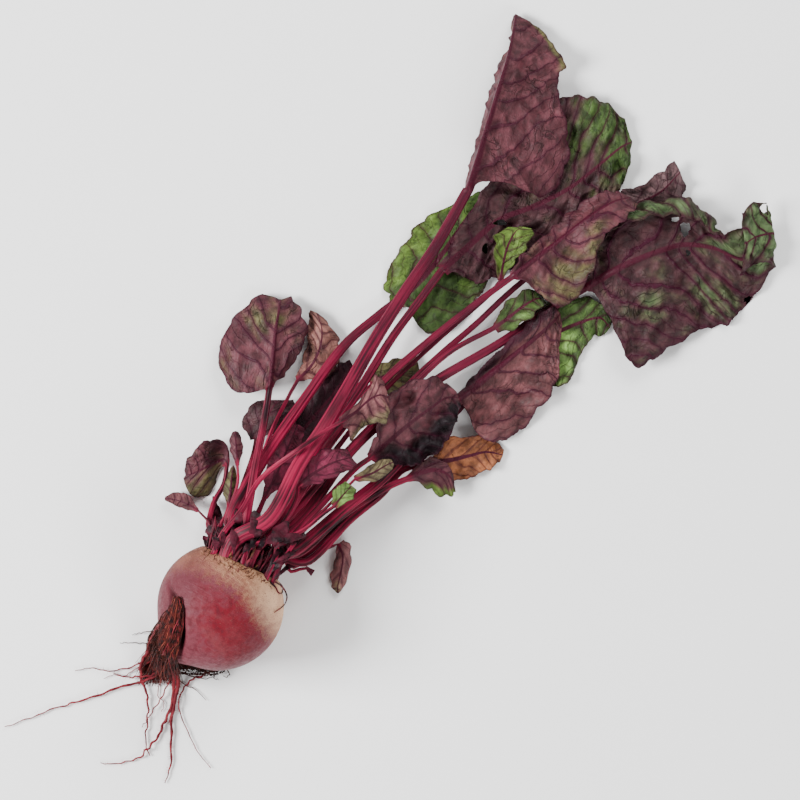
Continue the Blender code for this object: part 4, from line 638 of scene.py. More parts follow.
def vein_fields(leaf, number, along, columns):
    """Distance from the rib, place among the side veins, flat place and place across, for each point."""
    blade, gap = leaf_lengths(leaf)[1], vein_gap(leaf)
    middle = blade_sections(leaf, along, columns)
    step = np.linalg.norm(np.diff(middle, axis=1), axis=2)
    right = np.cumsum(step[:, columns - 1 :], axis=1)
    left = np.cumsum(step[:, : columns - 1][:, ::-1], axis=1)[:, ::-1]
    from_rib = np.hstack([left, np.zeros((len(along), 1)), right])
    side = np.sign(np.arange(2 * columns - 1) - (columns - 1))[None, :]
    length = (along * blade)[:, None] * np.ones_like(from_rib)
    flat = np.stack([from_rib * side, length], axis=2)
    sway = 0.22 * gap * np.sin(length / (0.62 * gap) + number)
    uneven = sway + 0.2 * gap * ripples(flat, 2.4 * gap, number + 9)
    shifted = VEIN_SHIFT * gap * side * np.tanh(from_rib / 2)
    rank = (length - VEIN_SLOPE * from_rib - VEIN_CURVE * from_rib**2 + shifted + uneven) / gap
    edge = np.abs(np.linspace(-1, 1, 2 * columns - 1))[None, :] * np.ones_like(from_rib)
    return from_rib, rank, flat, edge


def crumpled(leaf, number, fields):
    """How far each point of a blade stands off its smooth form: bulges between veins, folds and ripples."""
    from_rib, rank, flat, edge = fields
    size = vein_gap(leaf) / VEIN_GAPS[0][1]
    stands = 1.0 if leaf.get("underside_up", False) else -1.0
    bulge = np.abs(np.sin(math.pi * rank)) ** 0.8 - 0.6
    pillow = -stands * PILLOW * size * bulge * smooth_step(from_rib / 6) * (1 - 0.45 * edge)
    folds = sum(much * size * ripples(flat, wave * size, number + kind) for much, wave, kind in FOLDS)
    small = SMALL_FOLD[0] * ripples(flat, SMALL_FOLD[1], number + SMALL_FOLD[2])
    return pillow + (folds + small) * smooth_step(from_rib / 7)


heap = np.zeros((PLAN_SIZE, PLAN_SIZE))
lifts = {}
for number, (name, leaf) in enumerate(LEAVES.items()):
    grid = leaf_grid(leaf, LAY_ROW, LAY_STEM_ROW, LAY_COLUMNS)
    along = even_parameters([row[1] for row in leaf["rows"]], grid[1] + 1)[1:]
    fields = vein_fields(leaf, number, along, grid[2])
    skins = leaf_skin(leaf, *grid, crumpled(leaf, number, fields))
    around = np.pad(heap, 1)
    near = [around[i : i + PLAN_SIZE, j : j + PLAN_SIZE] for i in range(3) for j in range(3)]
    lift = lift_over(np.max(near, axis=0), skins, grid[0], leaf.get("stiff", False))
    if name in ON_THE_SURFACE:
        lift = lift - min((skin[:, :, 2] + lift).min() for skin in skins)
    for skin in skins:
        samples = skin_samples(skin + lift[:, :, None] * (0.0, 0.0, 1.0), PATCH_SAMPLES)
        np.maximum.at(heap, map_cells(samples), samples[..., 2])
    lifts[name] = lift
print("heap is", round(heap.max(), 1), "mm high")

# %% [markdown]
# ## Fine leaves
# The fine leaf is the same skin with many more rows and columns. Between its side veins the blade bulges
# a little, as a beet leaf does, and soft ripples crumple it. Each point also keeps a few plain numbers, such
# as how far it lies from the rib and between which veins, and the finish reads them. Holes are left out of
# the grid of faces, and every open edge is closed with a narrow rim.

# %% Fine leaf meshes
BLADE_ROW = 0.95
STEM_ROW = 2.6
FINE_COLUMNS = 7
BLADE_FINE = 0.55
FOOT_SUNK = 3.0
FOOT_REACH = 16.0
FOOT_HIGHEST = 17.5
FOOT_ROUND = 0.6
DIP_STRETCH = 2.2
STEM_RIBS = 0.07


def spread_lift(lift, coarse, fine):
    """The coarse leaf's lift, read for every row and column of the fine one."""
    stem, blade, columns = coarse
    stem_fine, blade_fine, columns_fine = fine
    rows = np.concatenate([
        np.linspace(0, stem, stem_fine + 1),
        stem + np.arange(1, blade_fine + 1) * blade / blade_fine,
    ])
    across = np.linspace(0, 2 * columns - 2, 2 * columns_fine - 1)
    by_row = np.array([np.interp(rows, np.arange(lift.shape[0]), lift[:, k]) for k in range(lift.shape[1])]).T
    full = np.array([np.interp(across, np.arange(lift.shape[1]), row) for row in by_row])
    for _ in range(3):
        full = softened(softened(full, 0), 1)
    return full


def leaf_mesh(name, uppers, lowers, open_at):
    """One closed mesh from two skins. Patches marked open are left out and rimmed."""
    steps, wide = uppers.shape[:2]
    under = steps * wide
    kept = ~open_at
    faces = []
    border = set()
    for i in range(steps - 1):
        for j in range(wide - 1):
            if not kept[i, j]:
                continue
            a, d = i * wide + j, (i + 1) * wide + j
            ring = (a, a + 1, d + 1, d)
            faces.append(ring)
            faces.append(tuple(under + k for k in ring[::-1]))
            for start, end in zip(ring, ring[1:] + ring[:1]):
                if (end, start) in border:
                    border.remove((end, start))
                else:
                    border.add((start, end))
    faces += [(end, start, under + start, under + end) for start, end in sorted(border)]
    mesh = bpy.data.meshes.new(name)
    points = to_frame(np.vstack([uppers.reshape(-1, 3), lowers.reshape(-1, 3)]))
    mesh.from_pydata([tuple(p) for p in points], [], faces)
    return mesh


def keep_numbers(mesh, title, values, kind="FLOAT"):
    """Stores one number, or three, for each point of a mesh."""
    store = mesh.attributes.new(title, kind, "POINT")
    field = "vector" if kind == "FLOAT_VECTOR" else "value"
    store.data.foreach_set(field, np.asarray(values, np.float32).ravel())


def drop_loose(mesh):
    """Deletes the points that no face uses, which are those inside the holes."""
    shape = bmesh.new()
    shape.from_mesh(mesh)
    bmesh.ops.delete(shape, geom=[v for v in shape.verts if not v.link_faces], context="VERTS")
    shape.to_mesh(mesh)
    shape.free()


# Eaten holes: where each lies on the plan and its reach both ways, in millimetres.
HOLES = {
    "leaf_big_holed": [
        (337.5, 290.2, 2.6, 1.3), (342.5, 285.5, 2.4, 3.6), (330, 280.8, 1.0, 1.8),
        (343.8, 273.5, 1.3, 1.7), (349.3, 269.2, 0.8, 0.8), (360.5, 286.5, 3.2, 2.4),
        (381.5, 295.5, 1.8, 2.8),
    ],
    "leaf_wrinkled_green": [(250, 288.5, 3.6, 1.4), (242.5, 275.5, 1.4, 2.6)],
    "leaf_top_folded": [(276.5, 315, 1.0, 1.3)],
}


def pierce(uppers, lowers, holes, stem_rows, seed):
    """Marks the patches inside each hole as open, and draws the points round it onto its ragged edge."""
    steps, wide = uppers.shape[:2]
    open_at = np.zeros((steps - 1, wide - 1), bool)
    for number, (x, y, rx, ry) in enumerate(holes):
        away = (uppers[:, :, :2] - (x, y)) / (rx, ry)
        turn = np.arctan2(away[:, :, 1], away[:, :, 0])
        ragged = 1 + 0.16 * np.sin(3 * turn + seed + number) + 0.1 * np.sin(7 * turn + 2 * number)
        far = np.linalg.norm(away, axis=2) / ragged
        inside = far < 1
        inside[: stem_rows + 2] = False
        corners = inside[:-1, :-1] & inside[1:, :-1] & inside[:-1, 1:] & inside[1:, 1:]
        open_at |= corners
        touched = np.zeros_like(inside)
        for i, j in ((0, 0), (1, 0), (0, 1), (1, 1)):
            touched[i : steps - 1 + i, j : wide - 1 + j] |= corners
        rim = touched & inside
        for i, j in np.argwhere(rim):
            shift = (away[i, j] / max(far[i, j], 0.05) - away[i, j]) * (rx, ry)
            uppers[i, j, :2] += shift
            lowers[i, j, :2] += shift
    return open_at


print(sum(len(holes) for holes in HOLES.values()), "holes in", len(HOLES), "leaves")

# %% [markdown]
# ## Small helpers for finishes and pieces
# A finish is a net of nodes. These helpers place one node and wire it in a single line, so that each finish
# below reads from top to bottom like a recipe. The last two turn all faces outwards and hand a piece over.

# %% Helpers for finishes and pieces
def place(tree, kind, inputs=(), **settings):
    """One node, with a value or a wire for each input."""
    made = tree.nodes.new(kind)
    for key, value in settings.items():
        setattr(made, key, value)
    for key, value in dict(inputs).items():
        socket = made.inputs[key]
        if isinstance(value, bpy.types.NodeSocket):
            tree.links.new(value, socket)
        else:
            socket.default_value = value
    return made


def sums(tree, operation, a, b=0.0, c=0.0):
    return place(tree, "ShaderNodeMath", {0: a, 1: b, 2: c}, operation=operation).outputs[0]


def times(tree, a, b):
    return sums(tree, "MULTIPLY", a, b)


def times_plus(tree, a, b, c):
    return sums(tree, "MULTIPLY_ADD", a, b, c)


def vectors(tree, operation, a, b):
    return place(tree, "ShaderNodeVectorMath", {0: a, 1: b}, operation=operation).outputs[0]


def blend(tree, share, a, b, how="MIX"):
    made = place(tree, "ShaderNodeMix", {0: share, 6: a, 7: b}, data_type="RGBA", blend_type=how)
    return made.outputs[2]


def ramp(tree, value, low, high, start=0.0, end=1.0):
    """Passes softly from start to end while value goes from low to high."""
    inputs = {"Value": value, "From Min": low, "From Max": high, "To Min": start, "To Max": end}
    return place(tree, "ShaderNodeMapRange", inputs, interpolation_type="SMOOTHSTEP").outputs[0]


def kept_number(tree, title):
    return place(tree, "ShaderNodeAttribute", attribute_name=title).outputs["Fac"]


def noise(tree, vector, scale, detail=3.0, distortion=0.0):
    inputs = {"Vector": vector, "Scale": scale, "Detail": detail, "Distortion": distortion}
    return place(tree, "ShaderNodeTexNoise", inputs).outputs["Fac"]


def colour(red, green, blue):
    """A colour given as on screen, from 0 to 255, turned into light."""
    shares = [v / 255 for v in (red, green, blue)]
    return (*(v / 12.92 if v <= 0.04045 else ((v + 0.055) / 1.055) ** 2.4 for v in shares), 1.0)


def new_finish(name):
    finish = bpy.data.materials.new(name)
    finish.use_nodes = True
    return finish, finish.node_tree, finish.node_tree.nodes["Principled BSDF"]


def dress(tree, shader, shown, rough, height, strength, shine):
    """Wires colour, roughness and bump into a finish, and sets how strongly it mirrors light."""
    bump = place(tree, "ShaderNodeBump", {"Height": height, "Strength": strength, "Distance": MM})
    tree.links.new(shown, shader.inputs["Base Color"])
    tree.links.new(rough, shader.inputs["Roughness"])
    tree.links.new(bump.outputs["Normal"], shader.inputs["Normal"])
    shader.inputs["Specular IOR Level"].default_value = shine


def face_outwards(mesh):
    shape = bmesh.new()
    shape.from_mesh(mesh)
    bmesh.ops.recalc_face_normals(shape, faces=shape.faces)
    shape.to_mesh(mesh)
    shape.free()


def add_piece(name, mesh, replaced=None):
    """Puts a finished piece into the scene, on the one body that a beetroot has."""
    piece = bpy.data.objects.new(name, mesh)
    bpy.context.scene.collection.objects.link(piece)
    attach(piece, "root")
    if replaced:
        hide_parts(replaced)
    return piece


print("red at half brightness is", round(colour(128, 0, 0)[0], 3), "in light")


# %% [markdown]
# ## The leaf finish
# A beet leaf is satin, with crimson side veins and a fine net of small veins between them. The underside is
# purple-brown and its veins stand up, while the top is greener and its veins lie in grooves. One shared
# group makes the pattern from the numbers that the mesh keeps, and each finish feeds it its own colours.

# %% The shared leaf pattern
TONES = ("Main", "Second", "Back", "Vein", "Rib", "Stem dark", "Stem light")


def leaf_pattern_group():
    """The pattern of veins, patches and creases, with painted shade, as a group that colours feed and a
    finish reads.
    """
    tree = bpy.data.node_groups.new("leaf_pattern", "ShaderNodeTree")
    for title in TONES:
        tree.interface.new_socket(title, in_out="INPUT", socket_type="NodeSocketColor")
    tree.interface.new_socket("Vein strength", in_out="INPUT", socket_type="NodeSocketFloat")
    tree.interface.new_socket("Color", in_out="OUTPUT", socket_type="NodeSocketColor")
    for title in ("Height", "Roughness"):
        tree.interface.new_socket(title, in_out="OUTPUT", socket_type="NodeSocketFloat")
    into = tree.nodes.new("NodeGroupInput").outputs
    flat = place(tree, "ShaderNodeAttribute", attribute_name="flat").outputs["Vector"]
    rank, from_rib = kept_number(tree, "rank"), kept_number(tree, "from_rib")
    rib, edge = kept_number(tree, "rib"), kept_number(tree, "edge")
    stem, second = kept_number(tree, "stem"), kept_number(tree, "second")
    under, gap = kept_number(tree, "under"), kept_number(tree, "gap")

    wander = times_plus(tree, noise(tree, flat, 0.11, 2.0), 0.55, -0.275)
    wandered = sums(tree, "ADD", rank, wander)

    def side_veins(shift, thick, thin):
        part = sums(tree, "FRACT", sums(tree, "ADD", wandered, shift))
        away = sums(tree, "SUBTRACT", 0.5, sums(tree, "ABSOLUTE", sums(tree, "SUBTRACT", part, 0.5)))
        away = times(tree, away, gap)
        width = ramp(tree, edge, 0.0, 1.0, thick, thin)
        return away, ramp(tree, sums(tree, "DIVIDE", away, width), 0.55, 1.25, 1.0, 0.0)

    away, veins = side_veins(10.0, 0.85, 0.3)
    _far, forks = side_veins(10.5, 0.45, 0.25)
    forks = times(tree, forks, ramp(tree, edge, 0.4, 0.75))
    strong = sums(tree, "MAXIMUM", veins, times(tree, forks, 0.6))
    bent = place(tree, "ShaderNodeTexNoise", {"Vector": flat, "Scale": 0.35, "Detail": 1.0}).outputs["Color"]
    bent = vectors(tree, "MULTIPLY", bent, (1.6, 1.6, 0.0))
    bent = vectors(tree, "ADD", flat, bent)
    nets = []
    for size, line in ((0.2, 0.055), (0.55, 0.06)):
        inputs = {"Vector": bent, "Scale": size}
        cells = place(tree, "ShaderNodeTexVoronoi", inputs, feature="DISTANCE_TO_EDGE")
        nets.append(ramp(tree, cells.outputs["Distance"], 0.0, line, 1.0, 0.0))
    net, small_net = nets
    ridge = ramp(tree, sums(tree, "DIVIDE", from_rib, rib), 0.75, 1.15, 1.0, 0.0)

    broad = noise(tree, flat, 0.07, 3.0)
    grain = noise(tree, flat, 0.8, 4.0)
    shift = times_plus(tree, broad, 1.3, -0.85)
    shift = times_plus(tree, ramp(tree, away, 0.6, 4.5), 0.16, shift)
    share = ramp(tree, sums(tree, "ADD", second, shift), 0.25, 0.8)
    shown = blend(tree, under, into["Main"], into["Back"])
    shown = blend(tree, share, shown, into["Second"])
    # Painted shade: the colour darkens along crease lines, as shade falls in a fold; the same creases also go
    # into the bump.
    fold = sums(tree, "ABSOLUTE", sums(tree, "ADD", noise(tree, flat, 0.1, 4.0, 0.9), -0.5))
    crease = ramp(tree, fold, 0.0, 0.035, 1.0, 0.0)
    crease = times(tree, crease, ramp(tree, broad, 0.42, 0.62))
    # Partly uneven tone, partly painted shade: random darker and lighter patches stand in for the light and
    # shade over the crumpled blade.
    shade = ramp(tree, noise(tree, flat, 0.16, 4.0, 0.4), 0.3, 0.72, 0.45, 1.45)
    shade = times(tree, shade, times_plus(tree, crease, -0.45, 1.0))
    shade = times(tree, shade, ramp(tree, grain, 0.3, 0.7, 0.85, 1.12))
    grey = place(tree, "ShaderNodeCombineColor", {0: shade, 1: shade, 2: shade}).outputs[0]
    shown = blend(tree, 1.0, shown, grey, "MULTIPLY")
    near_vein = ramp(tree, away, 0.0, 3.4, 0.42, 0.0)
    shown = blend(tree, times(tree, near_vein, into["Vein strength"]), shown, into["Vein"])
    net = times(tree, net, ramp(tree, noise(tree, flat, 0.12, 2.0), 0.35, 0.65))
    lines = sums(tree, "MAXIMUM", times(tree, strong, 0.8), times(tree, net, 0.3))
    lines = sums(tree, "MAXIMUM", lines, times(tree, small_net, 0.08))
    shown = blend(tree, times(tree, lines, into["Vein strength"]), shown, into["Vein"])
    rim = ramp(tree, times_plus(tree, grain, 0.05, edge), 0.955, 1.02)
    shown = blend(tree, times(tree, rim, 0.7), shown, into["Vein"])

    streak = noise(tree, vectors(tree, "MULTIPLY", flat, (1.0, 0.035, 1.0)), 0.85, 4.0)
    blotch = noise(tree, flat, 0.05, 2.0)
    light = times_plus(tree, blotch, 0.5, times(tree, streak, 0.75))
    light = ramp(tree, light, 0.45, 0.8)
    rod = blend(tree, light, into["Stem dark"], into["Stem light"])
    upper_part = ramp(tree, kept_number(tree, "from_crown"), 40.0, 190.0, 0.0, 0.75)
    rod = blend(tree, upper_part, rod, into["Rib"])
    rod = blend(tree, ramp(tree, stem, 0.3, 1.0), into["Rib"], rod)
    shown = blend(tree, sums(tree, "MAXIMUM", ridge, stem), shown, rod)

    raised = times_plus(tree, strong, 0.34, times(tree, net, 0.16))
    raised = times_plus(tree, small_net, 0.06, raised)
    raised = times_plus(tree, crease, 0.5, raised)
    way = times_plus(tree, under, 2.0, -1.0)
    blade = times_plus(tree, raised, way, times(tree, grain, 0.16))
    blade = sums(tree, "ADD", blade, times(tree, noise(tree, flat, 0.32, 3.0), 0.5))
    along_stem = times_plus(tree, streak, 0.55, times(tree, grain, 0.05))
    both = place(tree, "ShaderNodeMix", {0: stem, 2: blade, 3: along_stem}).outputs[0]
    rough = ramp(tree, grain, 0.2, 0.8, 0.48, 0.64)
    rough = times_plus(tree, stem, -0.08, rough)
    out = tree.nodes.new("NodeGroupOutput").inputs
    tree.links.new(shown, out["Color"])
    tree.links.new(both, out["Height"])
    tree.links.new(rough, out["Roughness"])
    return tree


leaf_pattern = leaf_pattern_group()
print("leaf pattern has", len(leaf_pattern.nodes), "nodes")

# %% [markdown]
# ## A finish for each leaf
# Leaves of one plant differ in tone: old ones are dark, grey or dry brown, young ones are bright green. Each
# leaf takes its tones from one small palette, and the shared pattern does the rest.

# %% Leaf finishes
# Tones of the blades, from near black painted as shade in deep folds to the pale young leaves.
FOLD_SHADE_BLACK = (18, 5, 12)
DARK_PLUM = (45, 15, 25)
DEEP_PURPLE = (60, 35, 38)
PURPLE = (80, 42, 48)
DUSKY_PURPLE = (90, 52, 54)
WINE = (100, 30, 52)
GREY_ROSE = (90, 66, 68)
DUSTY_ROSE = (120, 75, 76)
TAN_ROSE = (124, 82, 74)
BROWN = (95, 48, 40)
ORANGE_BROWN = (136, 82, 52)
OLIVE = (80, 76, 46)
PALE_OLIVE = (120, 110, 78)
GREY_GREEN = (70, 88, 54)
DARK_GREEN = (55, 75, 34)
GREEN = (80, 104, 40)
LIGHT_GREEN = (105, 138, 68)
PALE_GREEN = (125, 160, 78)
# For each leaf: main, second and underside tone, then the strength of the veins.
LEAF_COLOURS = {
    "leaf_stub": (WINE, DEEP_PURPLE, WINE, 0.4),
    "leaf_hanging_right": (DUSTY_ROSE, PALE_OLIVE, DUSTY_ROSE, 0.5),
    "leaf_dark_behind": (DARK_PLUM, DARK_PLUM, DARK_PLUM, 0.5),
    "leaf_grey_between": (WINE, DUSTY_ROSE, WINE, 0.6),
    "leaf_olive_behind": (OLIVE, OLIVE, DEEP_PURPLE, 0.6),
    "leaf_green_under": (DARK_GREEN, LIGHT_GREEN, OLIVE, 0.8),
    "leaf_dry_brown": (ORANGE_BROWN, BROWN, ORANGE_BROWN, 0.6),
    "leaf_grey_left": (DEEP_PURPLE, GREY_ROSE, DEEP_PURPLE, 0.6),
    "leaf_far_left": (DUSKY_PURPLE, DEEP_PURPLE, DUSKY_PURPLE, 0.6),
    "leaf_cupped_left": (PURPLE, OLIVE, PURPLE, 0.6),
    "leaf_yellow_tip": (OLIVE, GREEN, DEEP_PURPLE, 0.5),
    "leaf_upright_small": (PURPLE, OLIVE, PURPLE, 0.5),
    "leaf_beside_round": (TAN_ROSE, PALE_OLIVE, TAN_ROSE, 0.75),
    "leaf_green_edged": (PURPLE, GREEN, PURPLE, 0.7),
    "leaf_green_left": (DARK_GREEN, GREEN, DARK_GREEN, 0.7),
    "leaf_round_upper": (PURPLE, OLIVE, PURPLE, 0.9),
    "leaf_wrinkled_green": (DEEP_PURPLE, DARK_GREEN, DEEP_PURPLE, 0.9),
    "leaf_dark_tip": (GREY_ROSE, GREY_ROSE, GREY_ROSE, 0.6),
    "leaf_big_holed": (DEEP_PURPLE, GREY_GREEN, DEEP_PURPLE, 1.3),
    "leaf_big_low": (DUSKY_PURPLE, DARK_PLUM, DUSKY_PURPLE, 0.95),
    "leaf_bright_folded": (DARK_GREEN, LIGHT_GREEN, DARK_GREEN, 0.7),
    "leaf_pale_folded": (LIGHT_GREEN, PALE_GREEN, GREEN, 0.7),
    "leaf_fan_purple": (PURPLE, OLIVE, PURPLE, 1.0),
    # Its second tone is near black, painted as shade on its deep crumple.
    "leaf_crumpled_dark": (PURPLE, FOLD_SHADE_BLACK, PURPLE, 0.8),
    "leaf_oval_purple": (WINE, PURPLE, WINE, 0.6),
    "leaf_top_folded": (PURPLE, OLIVE, PURPLE, 0.8),
    "leaf_olive_small": (PALE_OLIVE, DUSTY_ROSE, PALE_OLIVE, 0.6),
    "leaf_green_bud": (LIGHT_GREEN, PALE_GREEN, GREEN, 0.5),
    "leaf_tan_middle": (DUSTY_ROSE, PALE_OLIVE, DUSTY_ROSE, 0.8),
}
VEIN_COLOUR = (50, 2, 25)
RIB_COLOUR = (60, 8, 28)
STEM_DARK = (22, 1, 9)
STEM_LIGHT = (138, 15, 54)
SATIN = 0.18


def leaf_finish(name):
    main, second, back, strength = LEAF_COLOURS[name]
    finish, tree, shader = new_finish(name)
    group = tree.nodes.new("ShaderNodeGroup")
    group.node_tree = leaf_pattern
    for title, shade in zip(TONES, (main, second, back, VEIN_COLOUR, RIB_COLOUR, STEM_DARK, STEM_LIGHT)):
        group.inputs[title].default_value = colour(*shade)
    group.inputs["Vein strength"].default_value = strength
    out = group.outputs
    dress(tree, shader, out["Color"], out["Roughness"], out["Height"], 1.0, SATIN)
    return finish


finishes = {name: leaf_finish(name) for name in LEAVES}
print(len(finishes), "leaf finishes")

# %% [markdown]
# ## Build each leaf
# The second colour of a leaf sits in a few soft patches, each given by its place along the blade, its place
# across it, and its reach both ways.

# %% Leaf patches and pieces
PATCHES = {
    "leaf_top_folded": [(0.8, 1.02, 0.13, 0.16, 1.3), (0.45, 0.2, 0.5, 0.9, -0.25)],
    "leaf_wrinkled_green": [
        (0.85, -0.7, 0.3, 0.8, 0.5), (0.95, 0.6, 0.2, 0.8, 0.6), (0.15, 0.0, 0.2, 1.0, -0.2),
    ],
    "leaf_green_left": [(0.5, -0.9, 0.6, 0.5, 0.6)],
    "leaf_big_holed": [
        (0.85, -0.1, 0.2, 0.7, 1.1), (0.32, -0.92, 0.3, 0.2, 0.5), (0.35, 0.5, 0.25, 0.4, 0.13),
        (0.4, -0.35, 0.3, 0.4, 0.13), (0.7, 0.7, 0.3, 0.35, 0.09), (0.1, 0.0, 0.2, 0.8, -0.12),
    ],
    "leaf_green_under": [(0.2, 0.0, 0.3, 1.2, 0.6)],
    "leaf_green_edged": [(0.7, 1.0, 0.6, 0.5, 0.7)],
    "leaf_cupped_left": [(0.5, -1.0, 0.8, 0.9, 0.6)],
    "leaf_round_upper": [(0.8, -0.2, 0.3, 0.5, 0.35)],
    "leaf_tan_middle": [(0.6, 1.0, 0.5, 0.5, 0.6)],
    # The first patch lays the near black tone on the deep crumple of this leaf as painted shade.
    "leaf_crumpled_dark": [(0.4, 1.0, 0.7, 0.75, 1.0), (0.5, -0.5, 0.8, 0.6, -0.6)],
    "leaf_big_low": [(0.45, -0.75, 0.7, 0.45, 0.9), (0.6, 0.6, 0.7, 0.7, -0.6)],
    "leaf_fan_purple": [(0.45, 0.7, 0.35, 0.5, 0.5), (0.8, -0.4, 0.3, 0.6, -0.2)],
    "leaf_bright_folded": [(0.6, 0.6, 0.4, 0.6, 0.4)],
    "leaf_hanging_right": [(0.8, 0.2, 0.3, 0.8, 0.4)],
}
# How deeply a blade is creased, in millimetres, where it is more than the usual depth.
CREASE_USUAL = 0.6
CREASED = {
    "leaf_crumpled_dark": 2.6, "leaf_wrinkled_green": 1.7, "leaf_big_holed": 1.3, "leaf_oval_purple": 1.2,
    "leaf_big_low": 1.1, "leaf_dry_brown": 1.3, "leaf_top_folded": 1.0, "leaf_fan_purple": 0.9,
}
SECOND_START = 0.3


def build_leaf(number, name, leaf):
    """Makes the fine leaf with the lift of the coarse one, and keeps the numbers that its finish reads."""
    coarse = leaf_grid(leaf, LAY_ROW, LAY_STEM_ROW, LAY_COLUMNS)
    fine = leaf_grid(leaf, BLADE_ROW, STEM_ROW, FINE_COLUMNS)
    stem_steps, blade_steps, columns = fine
    stem, blade, _side = leaf_lengths(leaf)
    along = even_parameters([row[1] for row in leaf["rows"]], blade_steps + 1)[1:]
    fields = vein_fields(leaf, number, along, columns)
    from_rib, rank, flat, edge = fields
    stands = leaf.get("underside_up", False)
    creases = np.abs(ripples(flat, 15.0, number + 120)) + 0.5 * np.abs(ripples(flat, 8.0, number + 140))
    crumple = crumpled(leaf, number, fields)
    crumple = crumple + CREASED.get(name, CREASE_USUAL) * (0.8 - creases) * smooth_step(from_rib / 9)
    uppers, lowers = leaf_skin(leaf, *fine, crumple, BLADE_FINE, FOOT_SUNK, STEM_RIBS)
    lift = spread_lift(lifts[name], coarse, fine)
    half_width, (foot_across, foot_up) = leaf["stem"][0], leaf["foot"]
    highest = math.sqrt(FOOT_HIGHEST**2 - (FOOT_ROUND * foot_across) ** 2)
    dip = max(0.0, foot_up + half_width / 2 - highest)
    away = smooth_step(np.linspace(0, stem, stem_steps + 1) / (FOOT_REACH + DIP_STRETCH * dip))[:, None]
    lift[: stem_steps + 1] = lift[: stem_steps + 1] * away - dip * (1 - away)
    open_at = pierce(uppers, lowers, HOLES.get(name, ()), stem_steps, number)
    for skin in (uppers, lowers):
        skin[:, :, 2] += lift
        skin[:, :, 2] = np.maximum(skin[:, :, 2], 0.0)
    mesh = leaf_mesh("fine_" + name, uppers, lowers, open_at)
    rows, wide = uppers.shape[:2]

    def whole(blade_part, stem_value=0.0):
        full = np.full((rows, wide), float(stem_value))
        full[stem_steps + 1 :] = blade_part
        return np.concatenate([full.ravel(), full.ravel()])

    round_stem = np.linspace(-1.6, 1.6, wide)[None, :] * half_width * np.ones((stem_steps + 1, 1))
    down_stem = np.linspace(-stem, 0, stem_steps + 1)[:, None] * np.ones((1, wide))
    flat_x = np.vstack([round_stem, flat[:, :, 0]])
    flat_y = np.vstack([down_stem, flat[:, :, 1]])
    flat_z = np.full((rows, wide), 41.0 * number)
    one_side = np.stack([flat_x, flat_y, flat_z], axis=2).reshape(-1, 3)
    second = np.full(edge.shape, SECOND_START)
    across = np.sign(flat[:, :, 0]) * edge
    for t, s, rt, rs, much in PATCHES.get(name, []):
        second += much * np.exp(-(((along[:, None] - t) / rt) ** 2) - ((across - s) / rs) ** 2)
    keep_numbers(mesh, "flat", np.vstack([one_side, one_side]), "FLOAT_VECTOR")
    for title, values in (("rank", rank), ("from_rib", from_rib), ("edge", edge), ("second", second)):
        keep_numbers(mesh, title, whole(values))
    keep_numbers(mesh, "gap", np.full(2 * rows * wide, vein_gap(leaf)))
    rib_width = np.maximum(0.75 * half_width * (1 - 0.85 * along), 0.3)[:, None] * np.ones((1, wide))
    keep_numbers(mesh, "rib", whole(rib_width, half_width))
    joined = smooth_step(1 - along * blade / 6)[:, None] * smooth_step(2.2 - from_rib / half_width)
    keep_numbers(mesh, "stem", whole(joined, 1.0))
    keep_numbers(mesh, "under", np.repeat([float(stands), 1.0 - stands], rows * wide))
    from_crown = np.vstack([down_stem + stem, np.full(flat.shape[:2], stem)])
    keep_numbers(mesh, "from_crown", np.concatenate([from_crown.ravel()] * 2))
    drop_loose(mesh)
    mesh.shade_smooth()
    mesh.materials.append(finishes[name])
    return add_piece("fine_" + name, mesh, name)


leaf_pieces = [build_leaf(number, name, leaf) for number, (name, leaf) in enumerate(LEAVES.items())]
print("leaves have", sum(2 * len(p.data.polygons) for p in leaf_pieces), "triangles")

# %% [markdown]
# ## The swollen root
# The root is a slightly flattened ball with a flat face where the stems leave it, a short thick tail and a
# deep cleft beside it. A single rule gives the distance from its middle to its skin in every direction, so
# the same rule makes a fine mesh of any number of points.

# %% Root shape
BULB_SIZE = (63.0, 64.0, 59.0)
TAIL_AXIS = np.array([
    math.cos(math.radians(219)) * math.cos(math.radians(16)),
    math.sin(math.radians(219)) * math.cos(math.radians(16)),
    math.sin(math.radians(16)),
])
TAIL_LENGTH = 7.0
TAIL_SPREAD = 0.33
CREASE_PATH = ((-0.79, 0.45, 0.41), (-0.73, 0.09, 0.68), (-0.66, -0.38, 0.65), (-0.58, -0.74, 0.34))
CREASE_DEPTH = 6.0
CREASE_SPREAD = (0.035, 0.1)
# How softly the skin passes into the flat face that the stems leave.
FACE_ROUND = 1.2
RINGS = 150
SIDES = 210


def crease_depth(ways):
    """Depth of the cleft below each direction from the root's middle."""
    path = curve_through(np.array(CREASE_PATH, float), np.linspace(0, 1, 30))
    path /= np.linalg.norm(path, axis=1)[:, None]
    away = np.arccos(np.clip(ways @ path.T, -1, 1))
    nearest = away.min(axis=1)
    share = away.argmin(axis=1) / (len(path) - 1)
    depth = CREASE_DEPTH * smooth_step(share / 0.45 + 0.12) * smooth_step((1.15 - share) / 0.5)
    spread = CREASE_SPREAD[0] + (CREASE_SPREAD[1] - CREASE_SPREAD[0]) * smooth_step((share - 0.12) / 0.3)
    return depth * np.exp(-((nearest / spread) ** 2))


